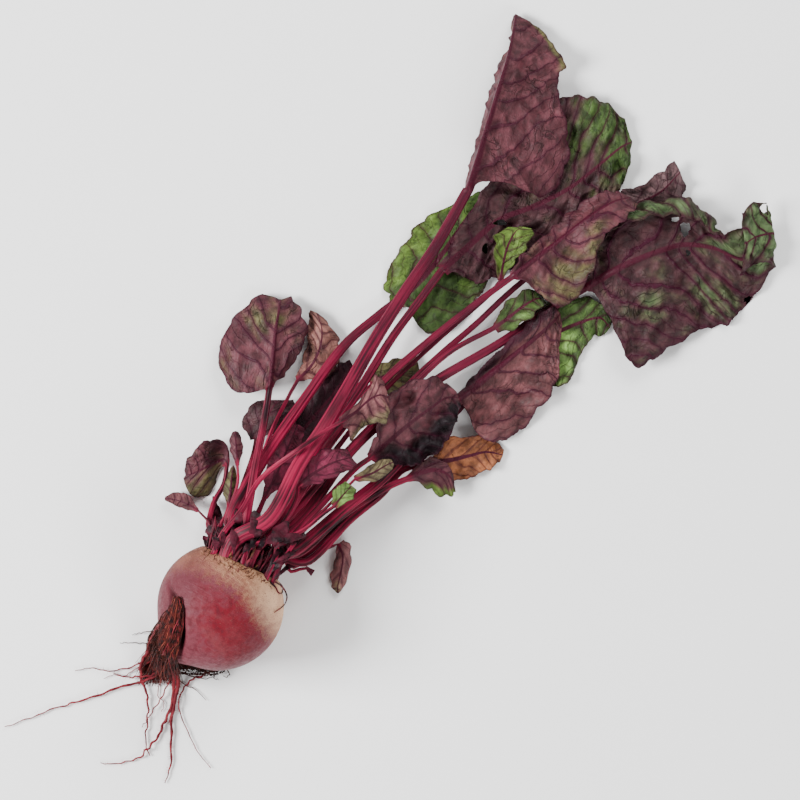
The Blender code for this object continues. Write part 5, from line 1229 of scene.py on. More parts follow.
def bulb_radius(ways, cleft=True):
    """Distance from the root's middle to its skin, in each direction."""
    along, across, upward = ways @ CROWN_AXIS, ways @ CROWN_ACROSS, ways @ CROWN_UP
    half = np.array(BULB_SIZE) / 2
    radius = 1 / np.sqrt((along / half[0]) ** 2 + (across / half[1]) ** 2 + (upward / half[2]) ** 2)
    radius = radius + 0.55 * np.sin(3.1 * across + 1.2) * np.cos(2.3 * upward)
    radius = radius + 0.4 * np.sin(4.2 * upward + 2.0 * along)
    off_tail = np.arccos(np.clip(ways @ TAIL_AXIS, -1, 1))
    radius = radius + TAIL_LENGTH * np.exp(-((off_tail / TAIL_SPREAD) ** 2))
    if cleft:
        radius = radius - crease_depth(ways)
    face = CROWN_DISTANCE / np.maximum(along, 1e-3)
    share = np.clip(0.5 + (face - radius) / (2 * FACE_ROUND), 0, 1)
    cut = radius * share + face * (1 - share) - FACE_ROUND * share * (1 - share)
    return np.where(along > 0.2, cut, radius)


def ball_mesh(name, rings, sides):
    tilt = np.linspace(0, math.pi, rings + 1)[1:-1]
    turn = np.linspace(0, 2 * math.pi, sides, endpoint=False)
    out = np.sin(tilt)[:, None, None]
    ring_ways = (
        np.cos(tilt)[:, None, None] * CROWN_AXIS
        + out * (np.cos(turn)[None, :, None] * CROWN_ACROSS + np.sin(turn)[None, :, None] * CROWN_UP)
    )
    ways = np.vstack([CROWN_AXIS[None, :], ring_ways.reshape(-1, 3), -CROWN_AXIS[None, :]])
    radius = bulb_radius(ways)
    points = BULB_CENTRE + ways * radius[:, None]
    points[:, 2] = np.maximum(points[:, 2], 0.0)
    last = len(points) - 1
    faces = []
    for side in range(sides):
        after = (side + 1) % sides
        faces.append((0, 1 + side, 1 + after))
        faces.append((last, last - sides + after, last - sides + side))
        for ring in range(rings - 2):
            a, b = 1 + ring * sides + side, 1 + ring * sides + after
            faces.append((a, a + sides, b + sides, b))
    mesh = bpy.data.meshes.new(name)
    mesh.from_pydata([tuple(p) for p in to_frame(points)], [], faces)
    face_outwards(mesh)
    return mesh, ways, points


def root_top(spots):
    """Height of the root's upper side over places in the plan, without its cleft, and 0 beside the root."""
    flat = spots[:, :2] - BULB_CENTRE[:2]
    far = np.linalg.norm(flat, axis=1)
    height = np.full(len(spots), 12.0)
    for _ in range(8):
        reach = bulb_radius(unit(np.column_stack([flat, height])), cleft=False)
        height = np.sqrt(np.maximum(reach**2 - far**2, 0.0))
    return np.where(height > 0, BULB_CENTRE[2] + height, 0.0)


bulb_data, bulb_ways, bulb_points = ball_mesh("fine_bulb", RINGS, SIDES)
print("root has", len(bulb_data.polygons), "faces")

# %% [markdown]
# ## Skin of the root
# The skin is dusky pink where it is dull and crimson where it is rubbed, and a tan corky shoulder runs round
# the crown. The line between tan and red isn't level: the mesh keeps how far each point is above it, and
# noise frays it. Fine dark scars run round the root, so one noise is squeezed along the crown's axis.

# %% Root finish
SHOULDER_LINE = ((-1.0, 0.16), (-0.93, 0.22), (-0.57, 0.47), (-0.19, 0.455), (0.23, 0.39), (0.51, 0.2),
                 (0.81, 0.0), (1.0, -0.09))
RUBBED_AT = (119.0, 87.0)
RUBBED_REACH = (17.0, 28.0)
RUBBED_TURN = math.radians(-52.0)


def root_finish():
    finish, tree, shader = new_finish("beet_skin")
    spot = place(tree, "ShaderNodeTexCoord").outputs["Object"]
    round_root = place(tree, "ShaderNodeAttribute", attribute_name="round_root").outputs["Vector"]
    above, groove, rubbed = (kept_number(tree, title) for title in ("above_line", "groove", "rubbed"))
    dirty, bright = kept_number(tree, "dirty"), kept_number(tree, "bright")
    patch = noise(tree, spot, 60.0, 6.0, 0.6)
    blotch = noise(tree, spot, 190.0, 5.0, 0.8)
    fine = noise(tree, spot, 420.0, 4.0)
    speck = noise(tree, spot, 1500.0, 2.0)
    scars = noise(tree, round_root, 1.0, 4.0, 0.5)
    crimson = times_plus(tree, blotch, 1.2, times_plus(tree, patch, 0.9, -1.0))
    crimson = ramp(tree, times_plus(tree, rubbed, 0.6, crimson), 0.1, 0.7)
    dusk = blend(tree, crimson, colour(98, 42, 52), colour(100, 6, 24))
    dusk = blend(tree, times(tree, dirty, 0.6), dusk, colour(74, 26, 34))
    for value, low, high, much, tone in (
        (blotch, 0.52, 0.72, 0.5, (70, 18, 30)),
        (patch, 0.56, 0.7, 0.35, (112, 60, 64)),
        (fine, 0.45, 0.7, 0.35, (66, 14, 24)),
        (speck, 0.6, 0.72, 0.2, (128, 84, 76)),
        (scars, 0.6, 0.72, 0.25, (54, 20, 24)),
    ):
        dusk = blend(tree, ramp(tree, value, low, high, 0.0, much), dusk, colour(*tone))
    # Painted shade: the skin goes near black down in the cleft, darkest where the cleft is deepest.
    dusk = blend(tree, groove, dusk, colour(30, 8, 8))
    cork = ramp(tree, fine, 0.3, 0.7)
    cork = blend(tree, cork, colour(158, 112, 84), colour(176, 132, 102))
    cork = blend(tree, bright, cork, colour(206, 166, 134))
    cork = blend(tree, times(tree, dirty, 0.85), cork, colour(114, 68, 56))
    soiled = times(tree, dirty, ramp(tree, blotch, 0.45, 0.6))
    cork = blend(tree, times(tree, soiled, 0.7), cork, colour(84, 48, 38))
    cork = blend(tree, ramp(tree, patch, 0.45, 0.65, 0.0, 0.4), cork, colour(132, 82, 66))
    cork = blend(tree, ramp(tree, speck, 0.6, 0.7, 0.0, 0.6), cork, colour(84, 50, 36))
    frayed = times_plus(tree, fine, 0.3, above)
    frayed = times_plus(tree, blotch, 0.15, times_plus(tree, speck, 0.35, frayed))
    corky = ramp(tree, times_plus(tree, patch, 0.4, frayed), 0.4, 1.0)
    shown = blend(tree, corky, dusk, cork)
    skin_rough = ramp(tree, fine, 0.3, 0.7, 0.5, 0.65)
    rough = place(tree, "ShaderNodeMix", {0: corky, 2: skin_rough, 3: 0.85}).outputs[0]
    height = times_plus(tree, speck, 0.1, times(tree, fine, 0.25))
    height = times_plus(tree, scars, 0.3, height)
    height = sums(tree, "ADD", height, times(tree, times(tree, speck, corky), 0.45))
    dress(tree, shader, shown, rough, height, 1.0, SATIN)
    return finish


line_across, line_along = zip(*SHOULDER_LINE)
up_axis, across_axis = bulb_ways @ CROWN_AXIS, bulb_ways @ CROWN_ACROSS
above_line = up_axis - np.interp(across_axis, line_across, line_along)
keep_numbers(bulb_data, "above_line", above_line)
# How deep each point lies in the cleft, which the finish turns near black as painted shade.
keep_numbers(bulb_data, "groove", np.clip(crease_depth(bulb_ways) / CREASE_DEPTH, 0, 1) ** 1.5)
away = bulb_points[:, :2] - RUBBED_AT
turned_x = away[:, 0] * math.cos(RUBBED_TURN) + away[:, 1] * math.sin(RUBBED_TURN)
turned_y = -away[:, 0] * math.sin(RUBBED_TURN) + away[:, 1] * math.cos(RUBBED_TURN)
rubbed = np.exp(-((turned_x / RUBBED_REACH[1]) ** 2) - (turned_y / RUBBED_REACH[0]) ** 2)
keep_numbers(bulb_data, "rubbed", rubbed)
round_way = np.stack([across_axis, bulb_ways @ CROWN_UP], axis=1)
keep_numbers(bulb_data, "round_root", np.column_stack([6 * round_way, 42 * up_axis]), "FLOAT_VECTOR")
keep_numbers(bulb_data, "dirty", smooth_step((-0.15 - across_axis) / 0.6))
keep_numbers(bulb_data, "bright", smooth_step((across_axis - 0.2) / 0.6))
bulb_data.shade_smooth()
bulb_data.materials.append(root_finish())
add_piece("fine_bulb", bulb_data, "bulb")
print("shoulder covers", round(100 * float((above_line > 0).mean())), "percent of the root")

# %% [markdown]
# ## Rootlets and soil
# The tuft is a few long rootlets, a bundle of strands that runs up the cleft, and dark soil held between
# them. Tubes of changing width along smooth curves make the rootlets and strands.

# %% Rootlets
# Each rootlet has its thickness at the root and at its end, and its way over the plan and above the surface.
ROOTLETS = [
    (1.3, 0.45, [(85, 68, 6), (75, 61, 3), (60, 56.5, 1.6), (42, 50, 1.1), (30, 46.5, 0.9), (15, 41, 0.8),
                 (2.5, 36.5, 0.7)]),
    (1.7, 0.5, [(82, 80, 14), (75, 75, 8), (71, 69, 4), (70.5, 61, 2.4), (73, 55, 1.8), (74, 47.5, 1.4),
                (73.5, 37.5, 1.1), (73, 27.5, 0.9), (75, 22, 0.8)]),
    (2.0, 0.5, [(88, 68, 8), (89, 57.5, 3), (87, 47.5, 1.7), (85.5, 35, 1.2), (85.5, 20, 0.9),
                 (84.5, 14, 0.8), (82.5, 8.5, 0.7)]),
    (1.6, 0.4, [(86, 67, 8), (87, 55, 2.2), (85, 45, 1.7), (81.5, 37.5, 1.3), (79, 31.5, 1.1), (74, 26, 2.2),
                (70, 21.5, 1.0), (62.5, 19, 0.8), (54, 18, 0.7), (50.5, 18.5, 0.7)]),
    (0.9, 0.4, [(84, 67, 7), (75, 62.5, 4.6), (67.5, 61.5, 1.8), (61, 62, 1.1), (56.5, 63.5, 0.8)]),
    (1.0, 0.4, [(104, 66, 5), (106, 65, 2), (100, 62, 1.4), (95, 59.5, 1.1), (91.5, 55, 1.0), (89.5, 50, 2.6),
                (90, 44, 0.9), (94, 34, 0.8), (99, 24, 0.7), (105, 16.5, 0.7)]),
    (0.7, 0.4, [(72, 70, 4.5), (64, 66, 1.4), (55, 64.5, 0.8), (46, 66, 0.8), (37.5, 64.5, 0.7)]),
    (0.7, 0.4, [(86, 62, 4), (80, 50, 1.4), (75, 42.5, 2.4), (71, 36.5, 0.8)]),
]
FINE_ROOTLETS = [
    [(79, 84, 20), (76, 84.5, 8), (71, 83.8, 1.4), (66, 82.6, 0.6)],
    [(79, 80, 14), (74, 78.5, 4), (66, 78.6, 0.8), (60, 78.5, 0.6)],
    [(90, 64, 4), (96, 62, 2), (103, 60.5, 0.8), (108, 63, 0.6)],
    [(108, 66, 2), (108.5, 64, 1), (107, 61, 0.8), (109.5, 60, 0.6)],
    [(113, 66, 2), (114.6, 63.5, 1), (113.4, 61.5, 0.8), (111.5, 62, 0.6)],
    [(84, 66, 3), (80, 58, 0.8), (79, 52, 0.6), (82, 49, 0.6), (81, 44, 0.6)],
    [(76, 70, 4), (68, 65.5, 1), (62, 62, 0.6), (57, 62.5, 0.6), (52, 60.6, 0.6)],
    [(88, 62, 3), (92, 58, 0.8), (98, 55, 0.6), (103, 50, 0.6)],
]
# Soil on the surface beside the root: its radius and place.
TUFT_SIDE_SPINE = [(4.5, (88, 70, 10)), (4.2, (97, 69, 6.5)), (3.2, (106, 67, 4.2)), (1.6, (112, 66.5, 2.6))]


FIBRE_BUMP = 0.7
DULL = 0.15


def tube(path, radii, sides, rough=0.0, random=None, flat=1.0):
    """Points and faces of a closed tube of changing radius along a path, flattened if wished."""
    path = np.asarray(path, float)
    forward = unit(np.gradient(path, axis=0))
    side = unit(np.cross(forward, (0.13, 0.21, 1.0)))
    up = np.cross(side, forward)
    turn = np.linspace(0, 2 * math.pi, sides, endpoint=False)
    out = np.asarray(radii)[:, None] * np.ones((1, sides))
    if random is not None:
        out = out * (1 + random.uniform(-rough, rough, out.shape))
    ring = side[:, None] * np.cos(turn)[None, :, None] + flat * up[:, None] * np.sin(turn)[None, :, None]
    points = (path[:, None] + out[:, :, None] * ring).reshape(-1, 3)
    faces = [tuple(range(sides))[::-1], tuple(range((len(path) - 1) * sides, len(path) * sides))]
    for step in range(len(path) - 1):
        for k in range(sides):
            a, b = step * sides + k, step * sides + (k + 1) % sides
            faces.append((a, b, b + sides, a + sides))
    return points, faces


class Bundle:
    """Gathers tubes into one mesh, with the finish number of each."""

    def __init__(self):
        self.points, self.faces, self.finish = [], [], []
        self.count = 0

    def add(self, points, faces, finish):
        self.points.append(points)
        self.faces += [tuple(self.count + k for k in face) for face in faces]
        self.finish += [finish] * len(faces)
        self.count += len(points)

    def mesh(self, name, finishes):
        mesh = bpy.data.meshes.new(name)
        points = to_frame(np.vstack(self.points))
        points[:, 2] = np.maximum(points[:, 2], 0.0)
        mesh.from_pydata([tuple(p) for p in points], [], self.faces)
        for finish in finishes:
            mesh.materials.append(finish)
        mesh.polygons.foreach_set("material_index", self.finish)
        face_outwards(mesh)
        mesh.shade_smooth()
        return mesh


def fibre_finish(name, dark, light, scale, rough):
    """A mottled dull finish for soil, fibres and dry scales."""
    finish, tree, shader = new_finish(name)
    spot = place(tree, "ShaderNodeTexCoord").outputs["Object"]
    mottle = noise(tree, spot, scale, 5.0)
    shown = blend(tree, ramp(tree, mottle, 0.35, 0.65), colour(*dark), colour(*light))
    roughness = ramp(tree, mottle, 0.3, 0.7, rough, rough + 0.12)
    dress(tree, shader, shown, roughness, noise(tree, spot, 3 * scale), FIBRE_BUMP, DULL)
    return finish


soil_finish = fibre_finish("soil", (14, 3, 3), (58, 24, 17), 500.0, 0.9)
fibre = fibre_finish("root_fibre", (84, 12, 24), (124, 36, 44), 260.0, 0.5)
dark_fibre = fibre_finish("dark_root_fibre", (22, 4, 5), (72, 22, 18), 400.0, 0.7)
tan_fibre = fibre_finish("tan_root_fibre", (74, 24, 18), (122, 54, 42), 300.0, 0.65)
random = np.random.default_rng(11)
tuft = Bundle()


def rootlet(route, radii, finish, sides=7, steps=9, wobble=0.25):
    """Adds one rootlet to the tuft, swaying a little and never below the surface."""
    at = even_parameters(route, steps * len(route))
    line = curve_through(route, at)
    sway = wobble * ripples(np.column_stack([at * 40 * len(route), at * 0]), 26.0, tuft.count)
    line[:, 0] += sway
    line[:, 1] -= sway
    size = np.interp(at, np.linspace(0, 1, len(radii)), radii) * (1 + 0.12 * np.sin(at * 90))
    line[:, 2] = np.maximum(line[:, 2], size + 0.05)
    tuft.add(*tube(line, size, sides), finish)


for thick, thin, route in ROOTLETS:
    rootlet(route, (0.62 * thick, 0.45 * thick + 0.1 * thin, 0.2 * thick + 0.3 * thin, 0.45 * thin), 1)
rootlet_bed = tuft.mesh("rootlet_bed", [fibre])
for route in FINE_ROOTLETS:
    rootlet(route, (0.32, 0.24, 0.14), 1 if len(route) > 4 else 2, 5)
print("tuft has", len(ROOTLETS) + len(FINE_ROOTLETS), "rootlets")

# %% [markdown]
# ## The clump in the cleft
# Between the main root and its side lobe hangs a clump of fine fibres, caked with soil, that widens towards
# the ground. Many thin tubes are drawn between the cleft and the foot of the clump, each a little different.
# The soil is a rough core, on which a net of geometry nodes scatters crumbs.

# %% Fibres
CLUMP_LINE = (
    (89.8, 102.0), (89.0, 97.5), (87.4, 92.0), (85.2, 86.0),
    (82.8, 80.5), (81.3, 75.5), (80.5, 70.5), (79.8, 66.0),
)
CLUMP_REACH = (1.4, 2.8, 4.2, 5.8, 6.8, 6.8, 6.0, 5.2)
CLUMP_ROWS = len(CLUMP_REACH)
FIBRES = 460
FIBRE_SIDES = 5
HANG = 3.5
LIP_ROUTE = ((92.0, 101.0), (92.6, 94.0), (92.3, 87.0), (90.2, 79.5), (87.5, 73.5))
LIP_STEPS = 40
CORE_SHIFTS = (-0.55, -0.28, 0.0, 0.28, 0.55)
CORE_STEPS = 40


def laid_on_root(line, above, hang=HANG):
    """Lifts a line onto the root, from which it then hangs down at a steep slope."""
    top = root_top(line)
    height = np.where(top > 0, top + above, 0.6)
    run = hang * np.linalg.norm(np.diff(line[:, :2], axis=0), axis=1)
    for k in range(1, len(line)):
        height[k] = max(height[k], height[k - 1] - run[k - 1])
    for k in range(len(line) - 2, -1, -1):
        height[k] = max(height[k], height[k + 1] - run[k])
    for _ in range(2):
        height[1:-1] = (height[:-2] + 2 * height[1:-1] + height[2:]) / 4
    return np.column_stack([line[:, :2], np.maximum(height, 0.5)])


clump_line = np.array(CLUMP_LINE)
clump_reach = np.array(CLUMP_REACH)
for k in range(FIBRES):
    across = random.uniform(-1, 1)
    start = int(random.integers(0, 5))
    spread = np.clip(across + 0.2 * np.cumsum(random.uniform(-1, 1, CLUMP_ROWS)), -1.1, 1.1)
    route = clump_line + np.column_stack([clump_reach * spread, -0.12 * clump_reach * spread])
    route += random.uniform(-0.9, 0.9, (CLUMP_ROWS, 2))
    end = route[-1] + (4.0 * across + random.uniform(-3, 3), random.uniform(-9, 2))
    route = np.vstack([route[start : CLUMP_ROWS - int(random.integers(0, 3))], end])
    line = curve_through(route, even_parameters(route, 5 * len(route)))
    above = random.uniform(0.4, 3.0) * math.sqrt(max(0.15, 1 - across**2))
    line = laid_on_root(line, above, random.uniform(1.5, 7.0))
    kind = int(random.choice([1, 2, 2, 2, 2, 3]))
    thick = random.uniform(0.12, 0.28) * (1.5 if kind == 2 else 1.0)
    size = thick * (1 - 0.6 * np.linspace(0, 1, len(line)) ** 2)
    size = size * (1 + 0.2 * np.sin(np.arange(len(line)) * 2.3))
    tuft.add(*tube(line, size, FIBRE_SIDES, 0.25, random), kind)
lip = curve_through(np.array(LIP_ROUTE), np.linspace(0, 1, LIP_STEPS))
tuft.add(*tube(laid_on_root(lip, 0.5), np.linspace(0.4, 0.6, LIP_STEPS), 8), 1)


def soil_cores(share, sides, rough, random):
    """Soil along the clump, as fat tubes that lie half sunk in the root, and one on the ground beside it."""
    cores = []
    at, reach = np.linspace(0, 1, CORE_STEPS), clump_reach[:-1]
    for shift in CORE_SHIFTS:
        spine = clump_line[:-1] + np.column_stack([shift * reach, 0 * reach])
        line = laid_on_root(curve_through(spine, at), 0.0)
        radii = share * 0.22 * np.interp(at, np.linspace(0, 1, len(reach)), reach)
        line[:, 2] = np.maximum(line[:, 2] - 0.6 * radii, radii)
        cores.append(tube(line, radii, sides, rough, random))
    places = np.array([place_at for _radius, place_at in TUFT_SIDE_SPINE], float)
    at = even_parameters(places, 30)
    radii = [radius for radius, _place in TUFT_SIDE_SPINE]
    radii = share * np.interp(at, np.linspace(0, 1, len(places)), radii)
    line = curve_through(places, at)
    line[:, 2] = np.maximum(line[:, 2] - 0.8, radii)
    return cores + [tube(line, radii, sides, rough, random)]


for core in soil_cores(0.85, 20, 0.25, random):
    tuft.add(*core, 0)
tuft_data = tuft.mesh("fine_root_tuft", [soil_finish, fibre, dark_fibre, tan_fibre])
add_piece("fine_root_tuft", tuft_data, "root_tuft")
print("tuft has", len(tuft_data.polygons), "faces")
# %% [markdown]
# ## Soil crumbs and root hairs
# Soil breaks into crumbs, and short hairs stand on the rootlets. There are many of both, all alike, so a net
# of geometry nodes scatters one crumb or one hair over a mesh. Its inputs are named and its seed is fixed.
# The result is turned into a plain mesh, and nothing is left to sink below the surface.

# %% Soil crumbs and root hairs by geometry nodes
HAIR_THICKNESS = 0.045
FULL_TURN = (6.28, 6.28, 6.28)
CRUMBS = {"Pieces per square metre": 900000.0, "Piece size": 0.00045, "Seed": 4}
HAIRS = {"Pieces per square metre": 300000.0, "Piece size": 0.0016, "Seed": 9}


def scatter_nodes(name, hairs):
    """A net that sets crumbs, or thin hairs that stand up, on the faces of a mesh."""
    tree = bpy.data.node_groups.new(name, "GeometryNodeTree")
    tree.is_modifier = True
    face = tree.interface
    for title, kind in (
        ("Geometry", "Geometry"), ("Pieces per square metre", "Float"), ("Piece size", "Float"),
        ("Seed", "Int"), ("Finish", "Material"),
    ):
        face.new_socket(title, in_out="INPUT", socket_type="NodeSocket" + kind)
    face.new_socket("Geometry", in_out="OUTPUT", socket_type="NodeSocketGeometry")
    into = tree.nodes.new("NodeGroupInput").outputs
    spread = place(tree, "GeometryNodeDistributePointsOnFaces", {
        "Mesh": into["Geometry"], "Density": into["Pieces per square metre"], "Seed": into["Seed"],
    })
    if hairs:
        thick = times(tree, into["Piece size"], HAIR_THICKNESS)
        one = place(tree, "GeometryNodeMeshCone", {
            "Vertices": 4, "Radius Top": 0.0, "Radius Bottom": thick, "Depth": into["Piece size"],
        })
        size_low, size_high, turn = (0.6, 0.6, 0.3), (1.2, 1.2, 1.5), spread.outputs["Rotation"]
    else:
        one = place(tree, "GeometryNodeMeshIcoSphere", {"Radius": into["Piece size"], "Subdivisions": 1})
        size_low, size_high = (0.4, 0.4, 0.3), (1.5, 1.2, 1.0)
        turn = place(tree, "FunctionNodeRandomValue", {0: (0, 0, 0), 1: FULL_TURN}, data_type="FLOAT_VECTOR")
        turn = turn.outputs["Value"]
    size = place(tree, "FunctionNodeRandomValue", {0: size_low, 1: size_high}, data_type="FLOAT_VECTOR")
    put = place(tree, "GeometryNodeInstanceOnPoints", {
        "Points": spread.outputs["Points"], "Instance": one.outputs["Mesh"],
        "Scale": size.outputs["Value"], "Rotation": turn,
    })
    real = place(tree, "GeometryNodeRealizeInstances", {"Geometry": put.outputs["Instances"]})
    inputs = {"Geometry": real.outputs["Geometry"], "Material": into["Finish"]}
    done = place(tree, "GeometryNodeSetMaterial", inputs)
    tree.links.new(done.outputs["Geometry"], tree.nodes.new("NodeGroupOutput").inputs["Geometry"])
    return tree


def scattered(name, mesh, tree, values):
    """Runs a scattering net on a mesh and gives back the result as a plain mesh."""
    holder = bpy.data.objects.new(name, mesh)
    bpy.context.scene.collection.objects.link(holder)
    net = holder.modifiers.new(name, "NODES")
    net.node_group = tree
    for socket in tree.interface.items_tree:
        if socket.in_out == "INPUT" and socket.name in values:
            net[socket.identifier] = values[socket.name]
    bpy.context.view_layer.update()
    made = bpy.data.meshes.new_from_object(holder.evaluated_get(bpy.context.evaluated_depsgraph_get()))
    bpy.data.objects.remove(holder, do_unlink=True)
    for point in made.vertices:
        point.co.z = max(point.co.z, 0.0)
    made.name = name
    return made


crumb_tree, hair_tree = scatter_nodes("soil_crumbs", False), scatter_nodes("root_hairs", True)
soil_bed = Bundle()
for core in soil_cores(1.5, 12, 0.0, None):
    soil_bed.add(*core, 0)
soil_mesh = soil_bed.mesh("soil_bed", [soil_finish])
crumbs = scattered("soil_crumbs", soil_mesh, crumb_tree, {**CRUMBS, "Finish": soil_finish})
crumbs.shade_smooth()
add_piece("soil_crumbs", crumbs)
hairs = scattered("root_hairs", rootlet_bed, hair_tree, {**HAIRS, "Finish": tan_fibre})
add_piece("root_hairs", hairs)
print("soil has", len(crumbs.polygons), "faces and the hairs", len(hairs.polygons))

# %% [markdown]
# ## The crown
# Where the stems leave the root there is a dark lumpy knob with dry scales and the stubs of old stems. They
# hide the feet of the stems. The scales are short tubes that all lean out from the crown's face. Shreds of
# skin, two curled threads and a few withered leaflets, which are flattened tubes, lie over the root and the
# stems. Many more dark leaflets lie sunk between the stems: partly withered leaflets, partly painted shade
# that darkens the gaps there.

# %% Crown knob, scales, threads and withered leaflets
crown_dark = fibre_finish("crown_dark", (28, 8, 14), (84, 16, 34), 300.0, 0.6)
crown_scale = fibre_finish("crown_scale", (40, 12, 20), (104, 30, 44), 220.0, 0.55)
crown_dry = fibre_finish("crown_dry", (52, 30, 22), (120, 78, 54), 420.0, 0.8)
crown = Bundle()
KNOB = (15.5, 14.0, 4.5)
KNOB_RINGS = 22
KNOB_SIDES = 40
KNOB_SUNK = 0.5
KNOB_LUMPS = 0.13
SCALES = 150
SCALE_STEPS = 9
SHREDS = 90
SHRED_STEPS = 12
THREADS = (
    (
        (136.5, 110.5), (139.0, 109.2), (141.8, 106.5), (143.6, 102.5),
        (143.0, 99.0), (140.6, 96.6), (137.8, 94.8),
    ),
    ((135.8, 109.6), (138.2, 107.2), (139.6, 104.6), (141.4, 104.2), (141.6, 107.0), (140.0, 109.4)),
)
THREAD_STEPS = 40
# Withered leaflets drawn one by one: three places on the plan and the half width.
LEAFLETS = (
    ((133.8, 129.3), (139.5, 133.0), (144.5, 140.0), 3.4),
    ((138.0, 126.5), (145.0, 131.5), (153.5, 133.0), 1.9),
    ((125.0, 127.5), (128.5, 135.0), (127.5, 145.0), 2.8),
    ((117.8, 123.0), (118.0, 134.0), (121.5, 144.5), 2.0),
    ((103.0, 126.5), (104.5, 132.0), (109.0, 138.0), 2.8),
)
LEAFLET_STEPS = 26
GAP_SHADE_LEAFLETS = 30
knob_points, knob_faces = [], []
for ring in range(KNOB_RINGS + 1):
    tilt = math.pi * ring / KNOB_RINGS
    for side in range(KNOB_SIDES):
        turn = 2 * math.pi * side / KNOB_SIDES
        way = np.array([math.sin(tilt) * math.cos(turn), math.sin(tilt) * math.sin(turn), math.cos(tilt)])
        lump = 1 + KNOB_LUMPS * float(ripples(3.0 * way[None, :2], 1.6, 5)[0]) * math.sin(tilt)
        across, up, out = (size * part * lump for size, part in zip(KNOB, way))
        knob_points.append(crown_point(across, up, out - KNOB_SUNK))
for ring in range(KNOB_RINGS):
    for side in range(KNOB_SIDES):
        a, b = ring * KNOB_SIDES + side, ring * KNOB_SIDES + (side + 1) % KNOB_SIDES
        knob_faces.append((a, b, b + KNOB_SIDES, a + KNOB_SIDES))
crown.add(np.array(knob_points), knob_faces, 0)
for k in range(SCALES):
    turn = random.uniform(0, 2 * math.pi) if k % 3 else math.pi / 2 + random.uniform(-1.3, 1.3)
    ring = random.uniform(0.35, 1.15)
    foot = crown_point(16.5 * ring * math.cos(turn), 15.5 * ring * math.sin(turn), -2.0)
    lean = CROWN_ACROSS * math.cos(turn) + CROWN_UP * math.sin(turn)
    length = random.uniform(5, 11) if k % 4 else random.uniform(10, 19)
    way = CROWN_AXIS + lean * random.uniform(-0.1, 0.55) + random.uniform(-0.25, 0.25, 3)
    bow = random.uniform(-2.5, 2.5, 3)
    at = np.linspace(0, 1, SCALE_STEPS)[:, None]
    line = foot + way * length * at + bow * at**2
    line[:, 2] = np.maximum(line[:, 2], 1.2)
    wide = random.uniform(0.5, 1.1) if k % 5 else random.uniform(1.2, 2.4)
    size = wide * (1 - at[:, 0] ** 2.2) * (0.8 + 0.3 * np.sin(at[:, 0] * 5 + k)) + 0.12
    crown.add(*tube(line, size, 8, 0.2, random), int(random.choice([0, 0, 1, 1, 2])) if k % 4 else 0)
for k in range(SHREDS):
    start = crown_point(random.uniform(-19, 19), 0.0, -abs(random.normal(0, 2.2)) - 0.4)[:2]
    way = random.uniform(-1, 1, 2)
    halfway = start + 1.5 * way + random.uniform(-0.5, 0.5, 2)
    route = np.array([start, halfway, start + random.uniform(2, 4) * way])
    line = laid_on_root(curve_through(route, np.linspace(0, 1, SHRED_STEPS)), 0.12)
    size = np.linspace(random.uniform(0.1, 0.3), 0.08, SHRED_STEPS)
    crown.add(*tube(line, size, 5), int(random.choice([0, 2, 2])))
for route in THREADS:
    line = laid_on_root(curve_through(np.array(route), np.linspace(0, 1, THREAD_STEPS)), 0.6)
    line[:, 2] = np.maximum(line[:, 2], 18.0)
    crown.add(*tube(line, np.linspace(0.55, 0.2, THREAD_STEPS), 6), 1)
# One finish for the withered leaflets and for the dark fill between the stems, which is painted shade.
withered = fibre_finish("withered_leaf_and_gap_shade", (16, 3, 9), (70, 15, 32), 170.0, 0.5)


def over_heap(line, above):
    """Sets a line at a given height over the leaves and stems under it, or below their top where that height
    is negative.
    """
    cells = np.clip(line[:, :2].astype(int), 0, PLAN_SIZE - 1)
    height = widest(heap[cells[:, 0], cells[:, 1]][:, None], 0, 2)[:, 0]
    for _ in range(4):
        height[1:-1] = (height[:-2] + 2 * height[1:-1] + height[2:]) / 4
    return np.column_stack([line[:, :2], np.maximum(height + above, 2.5)])


leaflets = [(np.array(route), wide, 0.2) for *route, wide in LEAFLETS]
# These dark leaflets sit below the top of the heap, between the stems: partly withered leaflets, partly dark
# fill that paints shade in the gaps.
for k in range(GAP_SHADE_LEAFLETS):
    across = random.uniform(-17, 19)
    foot = crown_point(across, 0.0, random.uniform(0, 8))[:2]
    way = CROWN_AXIS[:2] + 0.035 * across * CROWN_ACROSS[:2] + random.uniform(-0.25, 0.25, 2)
    far = random.uniform(7, 20)
    bend = random.uniform(-2.5, 2.5, 2)
    route = np.array([foot, foot + way * far / 2 + bend, foot + way * far])
    leaflets.append((route, random.uniform(0.9, 2.3), random.uniform(-9, -1.5)))
for k, (route, wide, above) in enumerate(leaflets):
    at = np.linspace(0, 1, LEAFLET_STEPS)
    line = over_heap(curve_through(route, at), above)
    size = wide * (0.15 + np.sin(np.pi * at**1.3) ** 0.8) * (1 + 0.12 * np.sin(at * 13 + k))
    points, faces = tube(line, size, 18, 0.06, random, 0.16)
    points[:, 2] += 0.7 * ripples(points[:, :2], 9.0, 200 + k)
    points[:, 2] = np.maximum(points[:, 2], 0.3)
    crown.add(points, faces, 3)
crown_data = crown.mesh("crown_scales", [crown_dark, crown_scale, crown_dry, withered])
add_piece("crown_scales", crown_data)
print("crown has", SCALES, "scales and", len(leaflets), "withered leaflets")

# %% [markdown]
# ## Light, floor and camera
# The beetroot lies on a plain white surface under large soft lights, and is seen from straight above. The
# camera is far away with a long lens, so that tall pieces don't lean outwards.

# %% Studio
FLOOR_REACH = 3
FLOOR_LEVEL = -0.0004
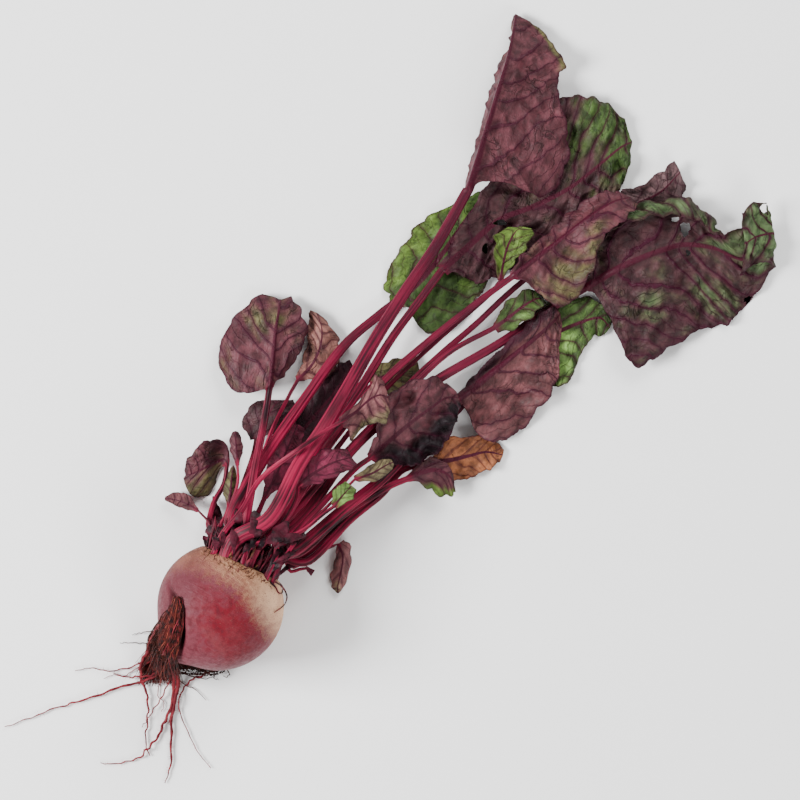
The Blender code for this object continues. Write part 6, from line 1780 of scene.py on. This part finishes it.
# Each lamp has a name, a place, a width in metres and a power in watts.
LIGHTS = (
    ("light_key", (-1.1, 1.1, 1.15), 0.8, 95),
    ("light_right", (1.4, 0.4, 1.0), 0.9, 30),
    ("light_near", (-0.3, -1.5, 1.0), 0.9, 26),
)
WORLD_LIGHT = 0.3
CAMERA_FAR = 5.0
SEEN_WIDTH = 0.4
SENSOR = 36.0

floor_mesh = bpy.data.meshes.new("floor")
corners = [(x * FLOOR_REACH, y * FLOOR_REACH, FLOOR_LEVEL) for x, y in ((-1, -1), (1, -1), (1, 1), (-1, 1))]
floor_mesh.from_pydata(corners, [], [(0, 1, 2, 3)])
floor_finish, _tree, floor_shader = new_finish("floor_white")
floor_shader.inputs["Base Color"].default_value = (0.95, 0.95, 0.95, 1)
floor_shader.inputs["Roughness"].default_value = 0.9
floor_mesh.materials.append(floor_finish)
floor = bpy.data.objects.new("floor", floor_mesh)
bpy.context.scene.collection.objects.link(floor)


def soft_light(name, place_at, size, power):
    """A square lamp that faces the middle of the plant."""
    lamp = bpy.data.lights.new(name, "AREA")
    lamp.shape, lamp.size, lamp.energy = "SQUARE", size, power
    made = bpy.data.objects.new(name, lamp)
    made.location = place_at
    way = -np.array(place_at)
    made.rotation_euler = mathutils.Vector(way).to_track_quat("-Z", "Y").to_euler()
    bpy.context.scene.collection.objects.link(made)


for light in LIGHTS:
    soft_light(*light)
world = bpy.data.worlds.new("studio")
world.use_nodes = True
world.node_tree.nodes["Background"].inputs["Color"].default_value = (1, 1, 1, 1)
world.node_tree.nodes["Background"].inputs["Strength"].default_value = WORLD_LIGHT
bpy.context.scene.world = world

middle = to_frame([(200.0, 200.0, 0.0)])[0]
camera_data = bpy.data.cameras.new("camera")
camera_data.sensor_width = SENSOR
camera_data.lens = SENSOR * CAMERA_FAR / SEEN_WIDTH
camera_data.clip_end = 20.0
camera = bpy.data.objects.new("camera", camera_data)
camera.location = (middle[0], middle[1], CAMERA_FAR)
camera.rotation_euler = (0.0, 0.0, PLAN_TURN)
bpy.context.scene.collection.objects.link(camera)
bpy.context.scene.camera = camera
print("camera over", [round(float(v), 3) for v in middle])
